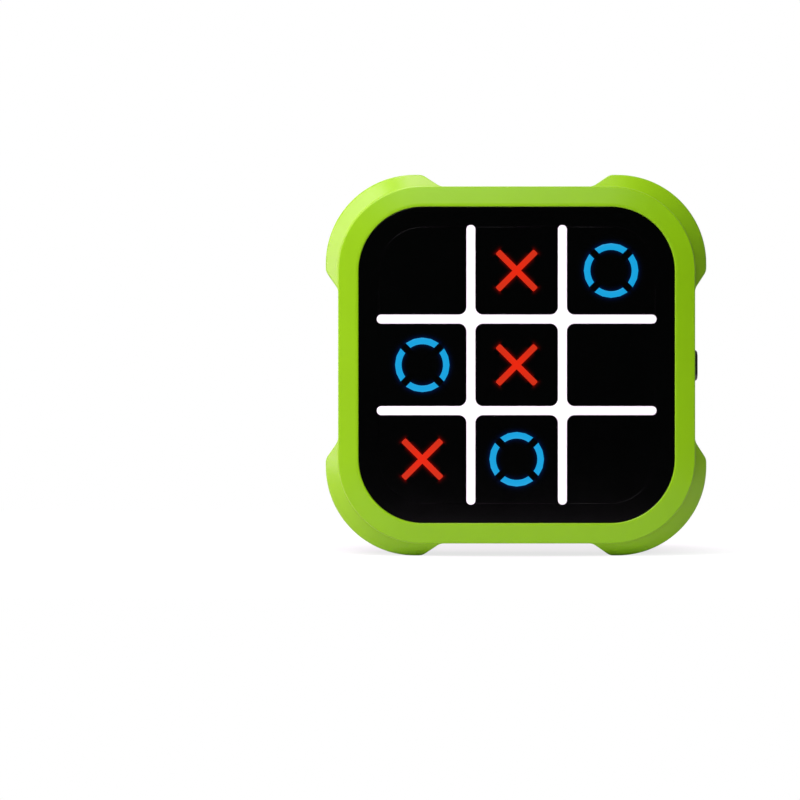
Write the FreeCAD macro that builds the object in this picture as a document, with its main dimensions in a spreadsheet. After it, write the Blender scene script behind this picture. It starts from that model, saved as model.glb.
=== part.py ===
"""A hand-held electronic tic tac toe game: a square plastic case with four corner bumpers,
nine light-up keys in a black fascia, a white grid, and one push button on the side.

Every piece is drawn as the game lies on its back: x to the right, y up the face, z out of
the face, with z = 0 at the back of the case and x = y = 0 in the middle of the board.
STAND_UP then stands each piece on the lower bumpers, facing -Y. Lengths are in millimetres.
"""

import FreeCAD, Part
import math
import os
import Sketcher

# The sizes that can be set, with what each one measures.
SIZES = (
    ("case_width", 90.6, "between opposite side walls"),
    ("case_corner", 19.4, "radius of the side walls' corners"),
    ("case_depth", 27.0, "front ring to back"),
    ("case_wall", 2.2, "thickness of the side walls"),
    ("case_back_bevel", 0.6, "bevel of the case's back edge"),
    ("ring_corner", 21.4, "radius of the front ring's corners"),
    ("ring_thickness", 2.2, "thickness of the front ring"),
    ("ring_land", 0.7, "level strip of the ring beside the panel"),
    ("ring_fall", 0.5, "drop of the ring from its land to its outer edge"),
    ("ring_outer_bevel", 0.5, "bevel of the ring's outer edge"),
    ("ring_inner_bevel", 0.3, "bevel of the ring's inner edge"),
    ("bumper_overhang", 3.2, "how far a bumper and its bevel stand out of the case"),
    ("bumper_setback", 1.4, "front of the case to the start of the bevel"),
    ("bumper_flat", 2.0, "straight stretch of a bumper past its corner arc"),
    ("bumper_ramp", 4.6, "length along the side of a bumper's slanted end"),
    ("bumper_crest_round", 2.0, "round at the top of the slanted end"),
    ("bumper_foot_round", 1.5, "round at the foot of the slanted end"),
    ("panel_width", 80.0, "width of the fascia inside the ring"),
    ("panel_corner", 16.3, "radius of the fascia's corners"),
    ("panel_gap", 0.1, "clearance between fascia and ring"),
    ("panel_recess", 0.1, "fascia and keys lie this far behind the ring's land"),
    ("panel_flange_reach", 1.9, "how far the fascia's flange reaches behind the ring"),
    ("panel_flange", 1.4, "thickness of the fascia's flange"),
    ("field_width", 70.2, "across the nine key openings"),
    ("line_pitch", 23.2, "between the centres of two parallel grid lines"),
    ("line_width", 2.28, "width of a grid line"),
    ("line_length", 70.9, "length of a grid line"),
    ("line_thickness", 1.0, "thickness of the grid inlay"),
    ("line_end_round", 1.1, "round of a grid line's ends"),
    ("line_fit", 0.05, "clearance between the grid inlay and its groove"),
    ("key_gap", 0.15, "clearance around a key"),
    ("key_corner", 1.8, "radius of a key's corners beside the grid"),
    ("key_roof", 2.0, "thickness of a key's face"),
    ("key_skirt", 1.2, "thickness of a key's side walls"),
    ("key_lip_reach", 0.8, "how far a key's lip reaches behind the fascia"),
    ("key_lip", 1.0, "thickness of a key's lip"),
    ("key_rest_gap", 0.1, "between a key's lip and the fascia at rest"),
    ("key_travel", 0.5, "how far a key can be pressed"),
    ("key_clearance", 0.4, "left below a pressed key"),
    ("mark_arm", 6.8, "half length of an arm of the X, along the diagonal"),
    ("mark_bar", 1.52, "width of an arm of the X"),
    ("mark_inner", 5.26, "inner radius of the O"),
    ("mark_outer", 6.88, "outer radius of the O"),
    ("mark_gap", 1.9, "width of the gaps that the arms of the X pass through"),
    ("mark_depth", 0.8, "thickness of the X and O windows"),
    ("mark_fit", 0.03, "clearance around a window"),
    ("stem_width", 2.0, "width of the square stem under a key"),
    ("stem_offset", 8.2, "key centre to stem, along x and along y"),
    ("switch_width", 3.6, "width of a key switch"),
    ("switch_height", 1.9, "height of a key switch's body"),
    ("switch_shift", 0.7, "height of a plunger above its switch"),
    ("plunger_width", 1.6, "width of a key switch's square plunger"),
    ("plunger_fit", 0.1, "clearance around a plunger"),
    ("plunger_root", 0.3, "length of a plunger inside its switch at rest"),
    ("baffle_width", 72.0, "width of the light baffle"),
    ("baffle_corner_cut", 10.0, "leg of the light baffle's cut corners"),
    ("baffle_plate", 1.0, "thickness of the baffle's plate"),
    ("baffle_wall", 0.8, "thickness of the baffle's chamber walls"),
    ("chamber_half", 7.9, "half width of a cell's light chamber"),
    ("chamber_core", 3.5, "half width of the chamber behind the X"),
    ("led_length", 2.0, "length of a light-emitting diode"),
    ("led_width", 1.25, "width of a light-emitting diode"),
    ("led_height", 0.9, "height of a light-emitting diode"),
    ("board_width", 82.0, "width of the circuit board"),
    ("board_corner_cut", 12.5, "leg of the board's cut corners"),
    ("board_thickness", 1.6, "thickness of the circuit board"),
    ("board_boss_x", 38.6, "centre of the fascia's screw posts, across"),
    ("board_boss_radius", 1.8, "radius of the fascia's screw posts"),
    ("board_screw_radius", 0.8, "shank radius of a board screw"),
    ("board_screw_length", 4.6, "shank length of a board screw"),
    ("board_screw_head", 1.7, "head radius of a board screw"),
    ("board_screw_head_height", 1.1, "head height of a board screw"),
    ("screw_fit", 0.05, "clearance around a screw's shank"),
    ("screw_end_gap", 0.6, "hole depth past the end of a screw"),
    ("case_boss_offset", 37.2, "centre of a case screw, across and up"),
    ("case_boss_radius", 2.6, "radius of the shell's screw posts"),
    ("case_boss_end", 4.2, "back of the shell's screw posts above the back"),
    ("case_boss_clearance", 0.25, "clearance around a screw post"),
    ("case_screw_radius", 1.1, "shank radius of a case screw"),
    ("case_screw_length", 9.0, "shank length of a case screw"),
    ("case_screw_head", 2.2, "head radius of a case screw"),
    ("case_screw_head_height", 1.5, "head height of a case screw"),
    ("case_screw_seat", 2.6, "seat of the screw's head above the back"),
    ("screw_head_gap", 0.25, "clearance around a screw's head"),
    ("cover_thickness", 2.0, "thickness of the rear cover"),
    ("cover_gap", 0.1, "clearance around the rear cover"),
    ("bay_offset", 14.5, "centre of the battery bay below the middle"),
    ("bay_wall", 1.4, "thickness of the battery bay's walls"),
    ("cell_radius", 5.25, "radius of an AAA cell"),
    ("cell_length", 44.5, "length of an AAA cell with its nub"),
    ("cell_nub_radius", 1.9, "radius of a cell's nub"),
    ("cell_nub", 0.9, "length of a cell's nub"),
    ("cell_gap", 0.3, "clearance around a cell"),
    ("cell_rib", 1.2, "thickness of the ribs between cells"),
    ("cell_rib_height", 3.0, "height of the ribs between cells"),
    ("contact_thickness", 0.4, "thickness of a contact plate"),
    ("contact_width", 8.0, "width of a contact plate"),
    ("spring_length", 5.0, "length of a contact spring"),
    ("spring_radius", 2.6, "radius of a contact spring"),
    ("door_thickness", 1.6, "thickness of the battery door"),
    ("door_margin", 2.2, "how far the door covers the rim of the bay"),
    ("door_screw_margin", 8.4, "how far the door runs past the bay at its screw"),
    ("door_corner", 2.0, "radius of the door's corners"),
    ("door_gap", 0.2, "clearance around the door"),
    ("door_frame", 1.6, "thickness and width of the frame that carries the door"),
    ("door_tongue_length", 5.0, "length of the door's locating tongues"),
    ("door_tongue_thickness", 0.9, "thickness of the tongues"),
    ("door_tongue_height", 1.2, "height of the tongues"),
    ("door_tongue_offset", 10.0, "centre of the tongues from the door's middle"),
    ("door_screw_inset", 4.2, "centre of the door's screw from the door's end"),
    ("door_screw_radius", 1.0, "shank radius of the door's screw"),
    ("door_screw_length", 6.0, "shank length of the door's screw"),
    ("door_screw_head", 1.9, "head radius of the door's screw"),
    ("door_screw_head_height", 0.7, "head height of the door's screw"),
    ("door_screw_seat", 0.9, "seat of the door screw's head above the back"),
    ("door_post_radius", 2.8, "radius of the post that takes the door's screw"),
    ("door_post_height", 6.4, "height of that post above the frame"),
    ("speaker_offset", 21.8, "centre of the speaker above the middle"),
    ("speaker_radius", 14.0, "radius of the speaker"),
    ("speaker_rim", 1.2, "thickness of the speaker's rim"),
    ("speaker_basket", 11.0, "radius of the speaker's basket"),
    ("speaker_basket_height", 2.0, "height of the basket above the rim"),
    ("speaker_magnet", 7.0, "radius of the speaker's magnet"),
    ("speaker_magnet_height", 2.2, "height of the magnet"),
    ("speaker_fit", 0.15, "clearance around the speaker"),
    ("speaker_collar", 1.0, "wall of the collar that holds the speaker"),
    ("speaker_collar_height", 2.4, "height of that collar"),
    ("grille_radius", 10.5, "radius of the speaker grille"),
    ("grille_slot", 1.6, "width of a slot in the grille"),
    ("grille_pitch", 3.0, "between the middles of two slots"),
    ("button_length", 8.0, "length of the side button"),
    ("button_width", 3.8, "width of the side button"),
    ("button_height", 1.7, "how far the side button stands out"),
    ("button_bevel", 0.5, "bevel of the side button's face"),
    ("button_gap", 0.15, "clearance around the side button"),
    ("button_lip", 0.8, "reach and thickness of the side button's lip"),
    ("button_rest_gap", 0.2, "between the lip and the wall at rest"),
    ("button_travel", 0.5, "how far the side button can be pressed"),
    ("side_switch_depth", 3.4, "size of the side switch along x"),
    ("side_switch_width", 6.0, "size of the side switch along y"),
    ("side_switch_reach", 1.3, "length of its plunger out of its body"),
    ("side_plunger_width", 2.6, "width of the side switch's square plunger"),
    ("chip_radius", 5.0, "radius of the glob over the controller chip"),
    ("chip_height", 1.2, "height of that glob"),
    ("chip_x", 24.0, "controller chip to the left of the middle"),
    ("chip_y", 22.0, "controller chip above the middle"),
)

QUARTERS = 4
ROWS = {1: "top", 0: "middle", -1: "bottom"}
COLUMNS = {-1: "left", 0: "centre", 1: "right"}
CORNERS = ((-1, -1), (1, -1), (1, 1), (-1, 1))
SMALLEST_CUT = 1e-6
NEAR = 1e-3
GRILLE_SLOTS = (-3, -2, -1, 0, 1, 2, 3)
POST_SIDES = 8
MARK_CHORDS = 4

# Shares: a step along a diagonal, half a side of an octagon to its flats, the side button's
# end round to its half width, and the straight cuts that stand in for a corner's arc, one
# touching the arc and one inside it.
HALF_ROOT = math.sqrt(0.5)
OCTAGON = math.tan(math.radians(22.5))
BUTTON_END_SHARE = 0.97
TANGENT_CUT = 2 - math.sqrt(2)
HOLLOW_CUT = 0.75

doc = FreeCAD.newDocument("TicTacToeGame")
sheet = doc.addObject("Spreadsheet::Sheet", "Sizes")
for line, (alias, length, meaning) in enumerate(SIZES, start=1):
    sheet.set(f"A{line}", meaning)
    sheet.set(f"B{line}", str(length))
    sheet.setAlias(f"B{line}", alias)
doc.recompute()

STAND_UP = FreeCAD.Placement(
    FreeCAD.Vector(0, sheet.case_depth / 2, sheet.case_width / 2 + sheet.bumper_overhang),
    FreeCAD.Rotation(FreeCAD.Vector(1, 0, 0), 90),
)


class Size:
    """A length as a number, together with the formula over the sheet that gives it."""

    def __init__(self, number, formula):
        self.number = number
        self.formula = formula

    def __add__(self, other):
        return joined(self, "+", other, self.number + number_of(other))

    def __sub__(self, other):
        return joined(self, "-", other, self.number - number_of(other))

    def __mul__(self, other):
        return joined(self, "*", other, self.number * number_of(other))

    def __truediv__(self, other):
        return joined(self, "/", other, self.number / number_of(other))

    def __neg__(self):
        return Size(-self.number, f"(0 - {self.formula})")

    def root(self):
        return Size(math.sqrt(self.number), f"sqrt({self.formula})")


def number_of(length):
    return length.number if isinstance(length, Size) else length


def formula_of(length):
    return length.formula if isinstance(length, Size) else repr(float(length))


def joined(left, sign, right, number):
    return Size(number, f"({left.formula} {sign} {formula_of(right)})")


def size(alias):
    return Size(float(getattr(sheet, alias)), f"Sizes.{alias}")


ZERO = Size(0.0, "0")

# Heights above the back of the case that more than one piece needs.
front = size("case_depth")
ring_back = front - size("ring_thickness")
bumper_core_front = front - size("bumper_setback") - size("bumper_overhang")
fascia_front = front - size("panel_recess")
fascia_back = ring_back - size("panel_flange")
key_lip_front = fascia_back - size("key_rest_gap")
key_back = key_lip_front - size("key_lip")
key_roof_back = fascia_front - size("key_roof")
mark_back = fascia_front - size("mark_depth")
chamber_front = key_roof_back - size("key_travel") - size("key_clearance")
switch_front = key_back - size("key_travel") - size("key_clearance")
plunger_front = switch_front + size("switch_shift")
board_front = switch_front - size("switch_height")
board_back = board_front - size("board_thickness")

# Places across the face.
case_half = size("case_width") / 2
bumper_half = case_half + size("bumper_overhang")
corner_centre = case_half - size("case_corner")
field_half = size("field_width") / 2
line_place = size("line_pitch") / 2
line_half = size("line_width") / 2
panel_half = size("panel_width") / 2
cell_middle = (field_half + line_place + line_half) / 2
cavity_half = case_half - size("case_wall")
side_lip_outer = cavity_half - size("button_rest_gap")
side_switch_face = side_lip_outer - size("button_lip") - size("side_switch_reach")

# The battery bay and its door.
cell_pitch = size("cell_radius") * 2 + size("cell_gap")
bay_half_length = (size("cell_length") + size("spring_length") + size("contact_thickness") * 2) / 2
bay_half_width = (cell_pitch * 3 + size("cell_gap")) / 2
bay_middle = -size("bay_offset")
cell_height = size("door_thickness") + size("cell_gap") + size("cell_radius")
bay_roof = cell_height + size("cell_radius") + size("cell_gap")
door_left = -(bay_half_length + size("door_margin"))
door_right = bay_half_length + size("door_screw_margin")
door_half_width = bay_half_width + size("door_margin")
door_screw_place = door_right - size("door_screw_inset")
frame_front = size("door_thickness") + size("door_frame")
door_hole_end = size("door_screw_seat") + size("door_screw_length") + size("screw_end_gap")


# ---- drawing helpers -----------------------------------------------------------------


def new_body(label):
    """Starts a piece, stood up with the rest of the game."""
    body = doc.addObject("PartDesign::Body", label)
    body.Label = label
    body.AllowCompound = True
    body.Placement = STAND_UP
    return body


def origin_feature(body, role):
    return next(item for item in body.Origin.OriginFeatures if item.Role == role)


def new_sketch(body, height, plane="XY_Plane"):
    """Starts a sketch on one of the body's own planes, moved out to a height."""
    sketch = body.newObject("Sketcher::SketchObject", "Sketch")
    sketch.AttachmentSupport = [(origin_feature(body, plane), "")]
    sketch.MapMode = "FlatFace"
    sketch.AttachmentOffset = FreeCAD.Placement(
        FreeCAD.Vector(0, 0, height.number), FreeCAD.Rotation()
    )
    sketch.setExpression("AttachmentOffset.Base.z", height.formula)
    return sketch


def bind(sketch, kind, *parts):
    """Adds one measured constraint, bound to the sheet. The last part is its length."""
    *places, length = parts
    index = sketch.addConstraint(Sketcher.Constraint(kind, *places, length.number))
    sketch.setExpression(f"Constraints[{index}]", length.formula)


def fix_point(sketch, geometry, end, x, y):
    """Pins a point of the sketch at x, y from its origin."""
    bind(sketch, "DistanceX", -1, 1, geometry, end, x)
    bind(sketch, "DistanceY", -1, 1, geometry, end, y)


def draw_circle(sketch, x, y, radius):
    middle = FreeCAD.Vector(x.number, y.number, 0)
    circle = sketch.addGeometry(
        Part.Circle(middle, FreeCAD.Vector(0, 0, 1), radius.number), False
    )
    fix_point(sketch, circle, 3, x, y)
    bind(sketch, "Radius", circle, radius)


def draw_post(sketch, x, y, radius):
    """The eight-sided outline of a hidden post, screw or hole. The radius is to its flats."""
    reach = radius / math.cos(math.pi / POST_SIDES)
    corners = []
    for side in range(POST_SIDES):
        angle = 2 * math.pi * (side + 0.5) / POST_SIDES
        place = (x + reach * math.cos(angle), y + reach * math.sin(angle))
        corners.append((*place, None))
    draw_outline(sketch, corners)


def draw_outline(sketch, corners):
    """Draws a closed outline. Each corner is (x, y, radius), with None for a sharp one."""
    points = [FreeCAD.Vector(x.number, y.number, 0) for x, y, _ in corners]
    count = len(corners)
    leave, arrive, arcs = [], [], []
    for index, (x, y, radius) in enumerate(corners):
        point = points[index]
        back = (points[index - 1] - point).normalize()
        ahead = (points[(index + 1) % count] - point).normalize()
        if radius is None:
            arrive.append(point)
            leave.append(point)
            arcs.append(None)
            continue
        half_angle = back.getAngle(ahead) / 2
        trim = radius.number / math.tan(half_angle)
        middle = point + (back + ahead).normalize() * (radius.number / math.sin(half_angle))
        arrive.append(point + back * trim)
        leave.append(point + ahead * trim)
        arcs.append((middle, back.cross(ahead).z < 0))
    lines = [
        sketch.addGeometry(Part.LineSegment(leave[i], arrive[(i + 1) % count]), False)
        for i in range(count)
    ]
    for index, (x, y, radius) in enumerate(corners):
        before, after = lines[index - 1], lines[index]
        if radius is None:
            sketch.addConstraint(Sketcher.Constraint("Coincident", before, 2, after, 1))
            fix_point(sketch, after, 1, x, y)
            continue
        middle, turns_left = arcs[index]
        first, last = (arrive[index], leave[index])
        if not turns_left:
            first, last = last, first
        start = math.atan2(first.y - middle.y, first.x - middle.x)
        end = math.atan2(last.y - middle.y, last.x - middle.x)
        circle = Part.Circle(middle, FreeCAD.Vector(0, 0, 1), radius.number)
        arc = sketch.addGeometry(Part.ArcOfCircle(circle, start, end), False)
        corner = sketch.addGeometry(Part.Point(points[index]), True)
        from_end, to_end = (1, 2) if turns_left else (2, 1)
        sketch.addConstraint(Sketcher.Constraint("Tangent", before, 2, arc, from_end))
        sketch.addConstraint(Sketcher.Constraint("Tangent", arc, to_end, after, 1))
        sketch.addConstraint(Sketcher.Constraint("PointOnObject", corner, 1, before))
        sketch.addConstraint(Sketcher.Constraint("PointOnObject", corner, 1, after))
        fix_point(sketch, corner, 1, x, y)
        bind(sketch, "Radius", arc, radius)


def draw_rectangle(sketch, left, right, low, high, radius=None):
    radii = radius if isinstance(radius, (list, tuple)) else [radius] * QUARTERS
    xs, ys = {-1: left, 1: right}, {-1: low, 1: high}
    draw_outline(sketch, [(xs[x], ys[y], r) for (x, y), r in zip(CORNERS, radii)])


def draw_square(sketch, half, radius=None, x=ZERO, y=ZERO):
    draw_rectangle(sketch, x - half, x + half, y - half, y + half, radius)


def turned(x, y, quarter):
    """Turns a place about the middle by some quarter turns."""
    for _ in range(quarter):
        x, y = -y, x
    return x, y


def add_feature(body, kind, sketch, length):
    feature = body.newObject(f"PartDesign::{kind}", kind)
    feature.Profile = sketch
    feature.Length = length.number
    feature.setExpression("Length", length.formula)
    sketch.Visibility = False
    body.Tip = feature
    return feature


def pad(body, sketch, height):
    """Raises a sketch forwards."""
    return add_feature(body, "Pad", sketch, height)


def pocket(body, sketch, depth):
    """Cuts a sketch backwards."""
    return add_feature(body, "Pocket", sketch, depth)


def repeat_around(body, feature):
    """Repeats a feature in the four corners of the case."""
    pattern = body.newObject("PartDesign::PolarPattern", "PolarPattern")
    pattern.Originals = [feature]
    pattern.Axis = (origin_feature(body, "Z_Axis"), [""])
    pattern.Angle = 360
    pattern.Occurrences = QUARTERS
    body.Tip = pattern
    return pattern


def dress_edges(body, kind, length, choose):
    """Rounds (Fillet) or bevels (Chamfer) the edges whose bounding boxes choose picks."""
    doc.recompute()
    base = body.Tip
    edges = enumerate(base.Shape.Edges, start=1)
    names = [f"Edge{index}" for index, edge in edges if choose(edge.BoundBox)]
    feature = body.newObject(f"PartDesign::{kind}", kind)
    feature.Base = (base, names)
    target = "Radius" if kind == "Fillet" else "Size"
    setattr(feature, target, length.number)
    feature.setExpression(target, length.formula)
    body.Tip = feature
    return feature


def near(length, place):
    return abs(length - number_of(place)) < NEAR


def level_at(height):
    """Picks edges that lie level at a height."""
    return lambda box: near(box.ZMin, height) and near(box.ZMax, height)


def level_within(height, half):
    """Picks level edges at a height that stay within a half width."""

    def choose(box):
        far = max(abs(box.XMin), abs(box.XMax), abs(box.YMin), abs(box.YMax))
        return level_at(height)(box) and far < half.number + NEAR

    return choose


# ---- the case ------------------------------------------------------------------------


def make_front_shell():
    """Front ring, side walls and bumpers in one moulding, open at the back."""
    body = new_body("front_shell")

    band = new_sketch(body, ZERO)
    draw_square(band, bumper_half, size("case_corner") + size("bumper_overhang"))
    bumper_front = front - size("bumper_setback")
    pad(body, band, bumper_front)
    dress_edges(body, "Chamfer", size("bumper_overhang"), level_at(bumper_front))

    crest = corner_centre - size("bumper_flat")
    foot = crest - size("bumper_ramp")
    beyond = bumper_half + size("bumper_overhang")
    side = new_sketch(body, front)
    draw_outline(
        side,
        [
            (-foot, case_half, size("bumper_foot_round")),
            (foot, case_half, size("bumper_foot_round")),
            (crest, bumper_half, size("bumper_crest_round")),
            (corner_centre, bumper_half, None),
            (corner_centre, beyond, None),
            (-corner_centre, beyond, None),
            (-corner_centre, bumper_half, None),
            (-crest, bumper_half, size("bumper_crest_round")),
        ],
    )
    repeat_around(body, pocket(body, side, front))

    walls = new_sketch(body, ZERO)
    draw_square(walls, case_half, size("ring_corner"))
    pad(body, walls, front)
    slope = dress_edges(body, "Chamfer", size("ring_fall"), level_at(front))
    slope.ChamferType = "Two distances"
    slope_width = case_half - panel_half - size("panel_gap") - size("ring_land")
    slope.Size2 = slope_width.number
    slope.setExpression("Size2", slope_width.formula)
    dress_edges(body, "Chamfer", size("ring_outer_bevel"), level_at(front - size("ring_fall")))
    dress_edges(body, "Chamfer", size("case_back_bevel"), level_at(ZERO))

    cavity = new_sketch(body, ring_back)
    draw_square(cavity, cavity_half, size("case_corner") - size("case_wall"))
    pocket(body, cavity, ring_back)
    repeat_around(body, pocket(body, bumper_core(body, ZERO, bumper_core_front), bumper_core_front))

    opening = new_sketch(body, front)
    draw_square(opening, panel_half + size("panel_gap"), size("panel_corner") + size("panel_gap"))
    pocket(body, opening, front)
    inner_edge = level_within(front, panel_half + size("panel_gap"))
    dress_edges(body, "Chamfer", size("ring_inner_bevel"), inner_edge)

    post = new_sketch(body, size("case_boss_end"))
    boss_place = size("case_boss_offset")
    draw_post(post, boss_place, boss_place, size("case_boss_radius"))
    repeat_around(body, pad(body, post, ring_back - size("case_boss_end")))
    hole_depth = size("case_screw_seat") + size("case_screw_length") + size("screw_end_gap")
    hole = new_sketch(body, hole_depth)
    draw_post(hole, boss_place, boss_place, size("case_screw_radius") + size("screw_fit"))
    repeat_around(body, pocket(body, hole, hole_depth))

    slot = new_sketch(body, case_half, "YZ_Plane")
    draw_button_outline(slot, size("button_gap"))
    pocket(body, slot, size("case_wall") + size("case_wall"))


def bumper_core(body, clearance, height):
    """The hollow inside a bumper, or with a clearance the cover's corner that fills it."""
    outer = bumper_half - size("case_wall") - clearance
    inner = corner_centre - size("bumper_flat") / 2 + clearance
    rounding = size("case_corner") + size("bumper_overhang") - size("case_wall") - clearance
    sketch = new_sketch(body, height)
    draw_rectangle(sketch, inner, outer, inner, outer, [None, None, rounding, None])
    return sketch


def make_rear_cover():
    """Cover with the battery bay, the speaker grille and its collar, and the screw posts."""
    body = new_body("rear_cover")
    thickness = size("cover_thickness")
    gap = size("cover_gap")

    plate = new_sketch(body, ZERO)
    draw_square(plate, cavity_half - gap, size("case_corner") - size("case_wall") - gap)
    pad(body, plate, thickness)
    repeat_around(body, pad(body, bumper_core(body, gap, ZERO), thickness))

    boss_place = size("case_boss_offset")
    post = new_sketch(body, ZERO)
    draw_post(post, boss_place, boss_place, size("case_boss_radius"))
    repeat_around(body, pad(body, post, size("case_boss_end")))
    hole = new_sketch(body, size("case_boss_end"))
    draw_post(hole, boss_place, boss_place, size("case_screw_radius") + size("screw_fit"))
    repeat_around(body, pocket(body, hole, size("case_boss_end")))
    recess = new_sketch(body, size("case_screw_seat"))
    draw_post(recess, boss_place, boss_place, size("case_screw_head") + size("screw_head_gap"))
    repeat_around(body, pocket(body, recess, size("case_screw_seat")))

    frame = new_sketch(body, ZERO)
    draw_door_outline(frame, size("door_frame"), None)
    pad(body, frame, frame_front)
    box = new_sketch(body, ZERO)
    draw_bay_outline(box, size("bay_wall"))
    pad(body, box, bay_roof + size("bay_wall"))
    post = new_sketch(body, ZERO)
    draw_post(post, door_screw_place, bay_middle, size("door_post_radius"))
    pad(body, post, frame_front + size("door_post_height"))

    bay = new_sketch(body, bay_roof)
    draw_bay_outline(bay, ZERO)
    pocket(body, bay, bay_roof)
    rebate = new_sketch(body, size("door_thickness"))
    draw_door_outline(rebate, size("door_gap"), size("door_corner") + size("door_gap"))
    pocket(body, rebate, size("door_thickness"))
    slots = new_sketch(body, frame_front)
    draw_tongues(slots, size("door_gap"))
    pocket(body, slots, frame_front)
    hole = new_sketch(body, door_hole_end)
    draw_post(hole, door_screw_place, bay_middle, size("door_screw_radius") + size("screw_fit"))
    pocket(body, hole, door_hole_end)

    ribs = new_sketch(body, bay_roof - size("cell_rib_height"))
    rib_half = size("cell_rib") / 2
    for side in (-1, 1):
        middle = bay_middle + cell_pitch / 2 * side
        draw_rectangle(
            ribs, -bay_half_length / 2, bay_half_length / 2, middle - rib_half, middle + rib_half
        )
    pad(body, ribs, size("cell_rib_height"))

    collar_inner = size("speaker_radius") + size("speaker_fit")
    collar = new_sketch(body, thickness)
    draw_post(collar, ZERO, size("speaker_offset"), collar_inner)
    draw_post(collar, ZERO, size("speaker_offset"), collar_inner + size("speaker_collar"))
    pad(body, collar, size("speaker_collar_height"))

    grille = new_sketch(body, thickness)
    slot_half = size("grille_slot") / 2
    radius = size("grille_radius")
    for slot in GRILLE_SLOTS:
        rise = size("grille_pitch") * slot
        half = (radius * radius - rise * rise).root()
        middle = size("speaker_offset") + rise
        draw_rectangle(grille, -half, half, middle - slot_half, middle + slot_half)
    pocket(body, grille, thickness)


def draw_bay_outline(sketch, grow):
    length, width = bay_half_length + grow, bay_half_width + grow
    draw_rectangle(sketch, -length, length, bay_middle - width, bay_middle + width)


def draw_door_outline(sketch, grow, corner):
    low, high = bay_middle - door_half_width - grow, bay_middle + door_half_width + grow
    draw_rectangle(sketch, door_left - grow, door_right + grow, low, high, corner)


def draw_tongues(sketch, grow):
    """The two locating tongues at the left end of the door."""
    half_length = size("door_tongue_length") / 2 + grow
    half_thickness = size("door_tongue_thickness") / 2 + grow
    across = door_left + size("door_margin") / 2
    for side in (-1, 1):
        along = bay_middle + size("door_tongue_offset") * side
        draw_rectangle(
            sketch,
            across - half_thickness,
            across + half_thickness,
            along - half_length,
            along + half_length,
        )


def make_battery_door():
    """Flat door with two locating tongues and the recess for its screw."""
    body = new_body("battery_door")
    thickness = size("door_thickness")
    plate = new_sketch(body, ZERO)
    draw_door_outline(plate, ZERO, size("door_corner"))
    pad(body, plate, thickness)
    tongues = new_sketch(body, ZERO)
    draw_tongues(tongues, ZERO)
    pad(body, tongues, thickness + size("door_tongue_height"))
    hole = new_sketch(body, thickness)
    draw_post(hole, door_screw_place, bay_middle, size("door_screw_radius") + size("screw_fit"))
    pocket(body, hole, thickness)
    recess = new_sketch(body, size("door_screw_seat"))
    head = size("door_screw_head") + size("screw_head_gap")
    draw_circle(recess, door_screw_place, bay_middle, head)
    pocket(body, recess, size("door_screw_seat"))


def make_screws(label, places, seat, head, head_height, shank, shank_length):
    """Screws that point forwards, their heads seated at a height above the back."""
    body = new_body(label)
    heads = new_sketch(body, seat - head_height)
    shanks = new_sketch(body, seat)
    for x, y in places:
        draw_post(heads, x, y, head)
        draw_post(shanks, x, y, shank)
    pad(body, heads, head_height)
    pad(body, shanks, shank_length)


def make_case_screws():
    offset = size("case_boss_offset")
    make_screws(
        "case_screws",
        [(offset * x, offset * y) for x, y in CORNERS],
        size("case_screw_seat"),
        size("case_screw_head"),
        size("case_screw_head_height"),
        size("case_screw_radius"),
        size("case_screw_length"),
    )


def make_door_screw():
    make_screws(
        "battery_door_screw",
        [(door_screw_place, bay_middle)],
        size("door_screw_seat"),
        size("door_screw_head"),
        size("door_screw_head_height"),
        size("door_screw_radius"),
        size("door_screw_length"),
    )


# ---- the face ------------------------------------------------------------------------


def opening_span(index):
    """Low and high edge of a column or row of key openings: -1, 0 or 1."""
    if index == 0:
        half = line_place - line_half
        return -half, half
    low, high = line_place + line_half, field_half
    return (low, high) if index > 0 else (-high, -low)


def cell_centre(index):
    return cell_middle * index


def cells():
    """Every cell of the board, from the top left, as (column, row)."""
    return [(column, row) for row in ROWS for column in COLUMNS]


def cell_name(column, row):
    return f"{ROWS[row]}_{COLUMNS[column]}"


def draw_cell(sketch, column, row, grow, crossing_round=None, field_cut=None):
    """The outline of a cell's key opening, grown outwards or, below zero, inwards.

    A corner of the whole field follows the fascia's corner, or is cut straight across where
    it is hidden. One at a crossing of the grid may be rounded. Those at the ends of the grid
    lines are square."""
    left, right = opening_span(column)
    low, high = opening_span(row)
    xs, ys = {-1: left - grow, 1: right + grow}, {-1: low - grow, 1: high + grow}
    field_corner = size("panel_corner") - (panel_half - field_half) + grow
    corners = []
    for x, y in CORNERS:
        at_crossing = x != column and y != row
        if (x, y) != (column, row):
            corners.append((xs[x], ys[y], crossing_round if at_crossing else None))
        elif field_cut is None:
            corners.append((xs[x], ys[y], field_corner))
        else:
            leg = field_corner * field_cut
            cut = [(xs[x], ys[y] - leg * y, None), (xs[x] - leg * x, ys[y], None)]
            corners += cut if x == y else cut[::-1]
    draw_outline(sketch, corners)


def draw_bars(sketch, length, width, corner, upright):
    """The two level or the two upright lines of the grid."""
    for side in (-1, 1):
        middle = line_place * side
        along, across = (-length / 2, length / 2), (middle - width / 2, middle + width / 2)
        box = (*across, *along) if upright else (*along, *across)
        draw_rectangle(sketch, *box, corner)


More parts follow.
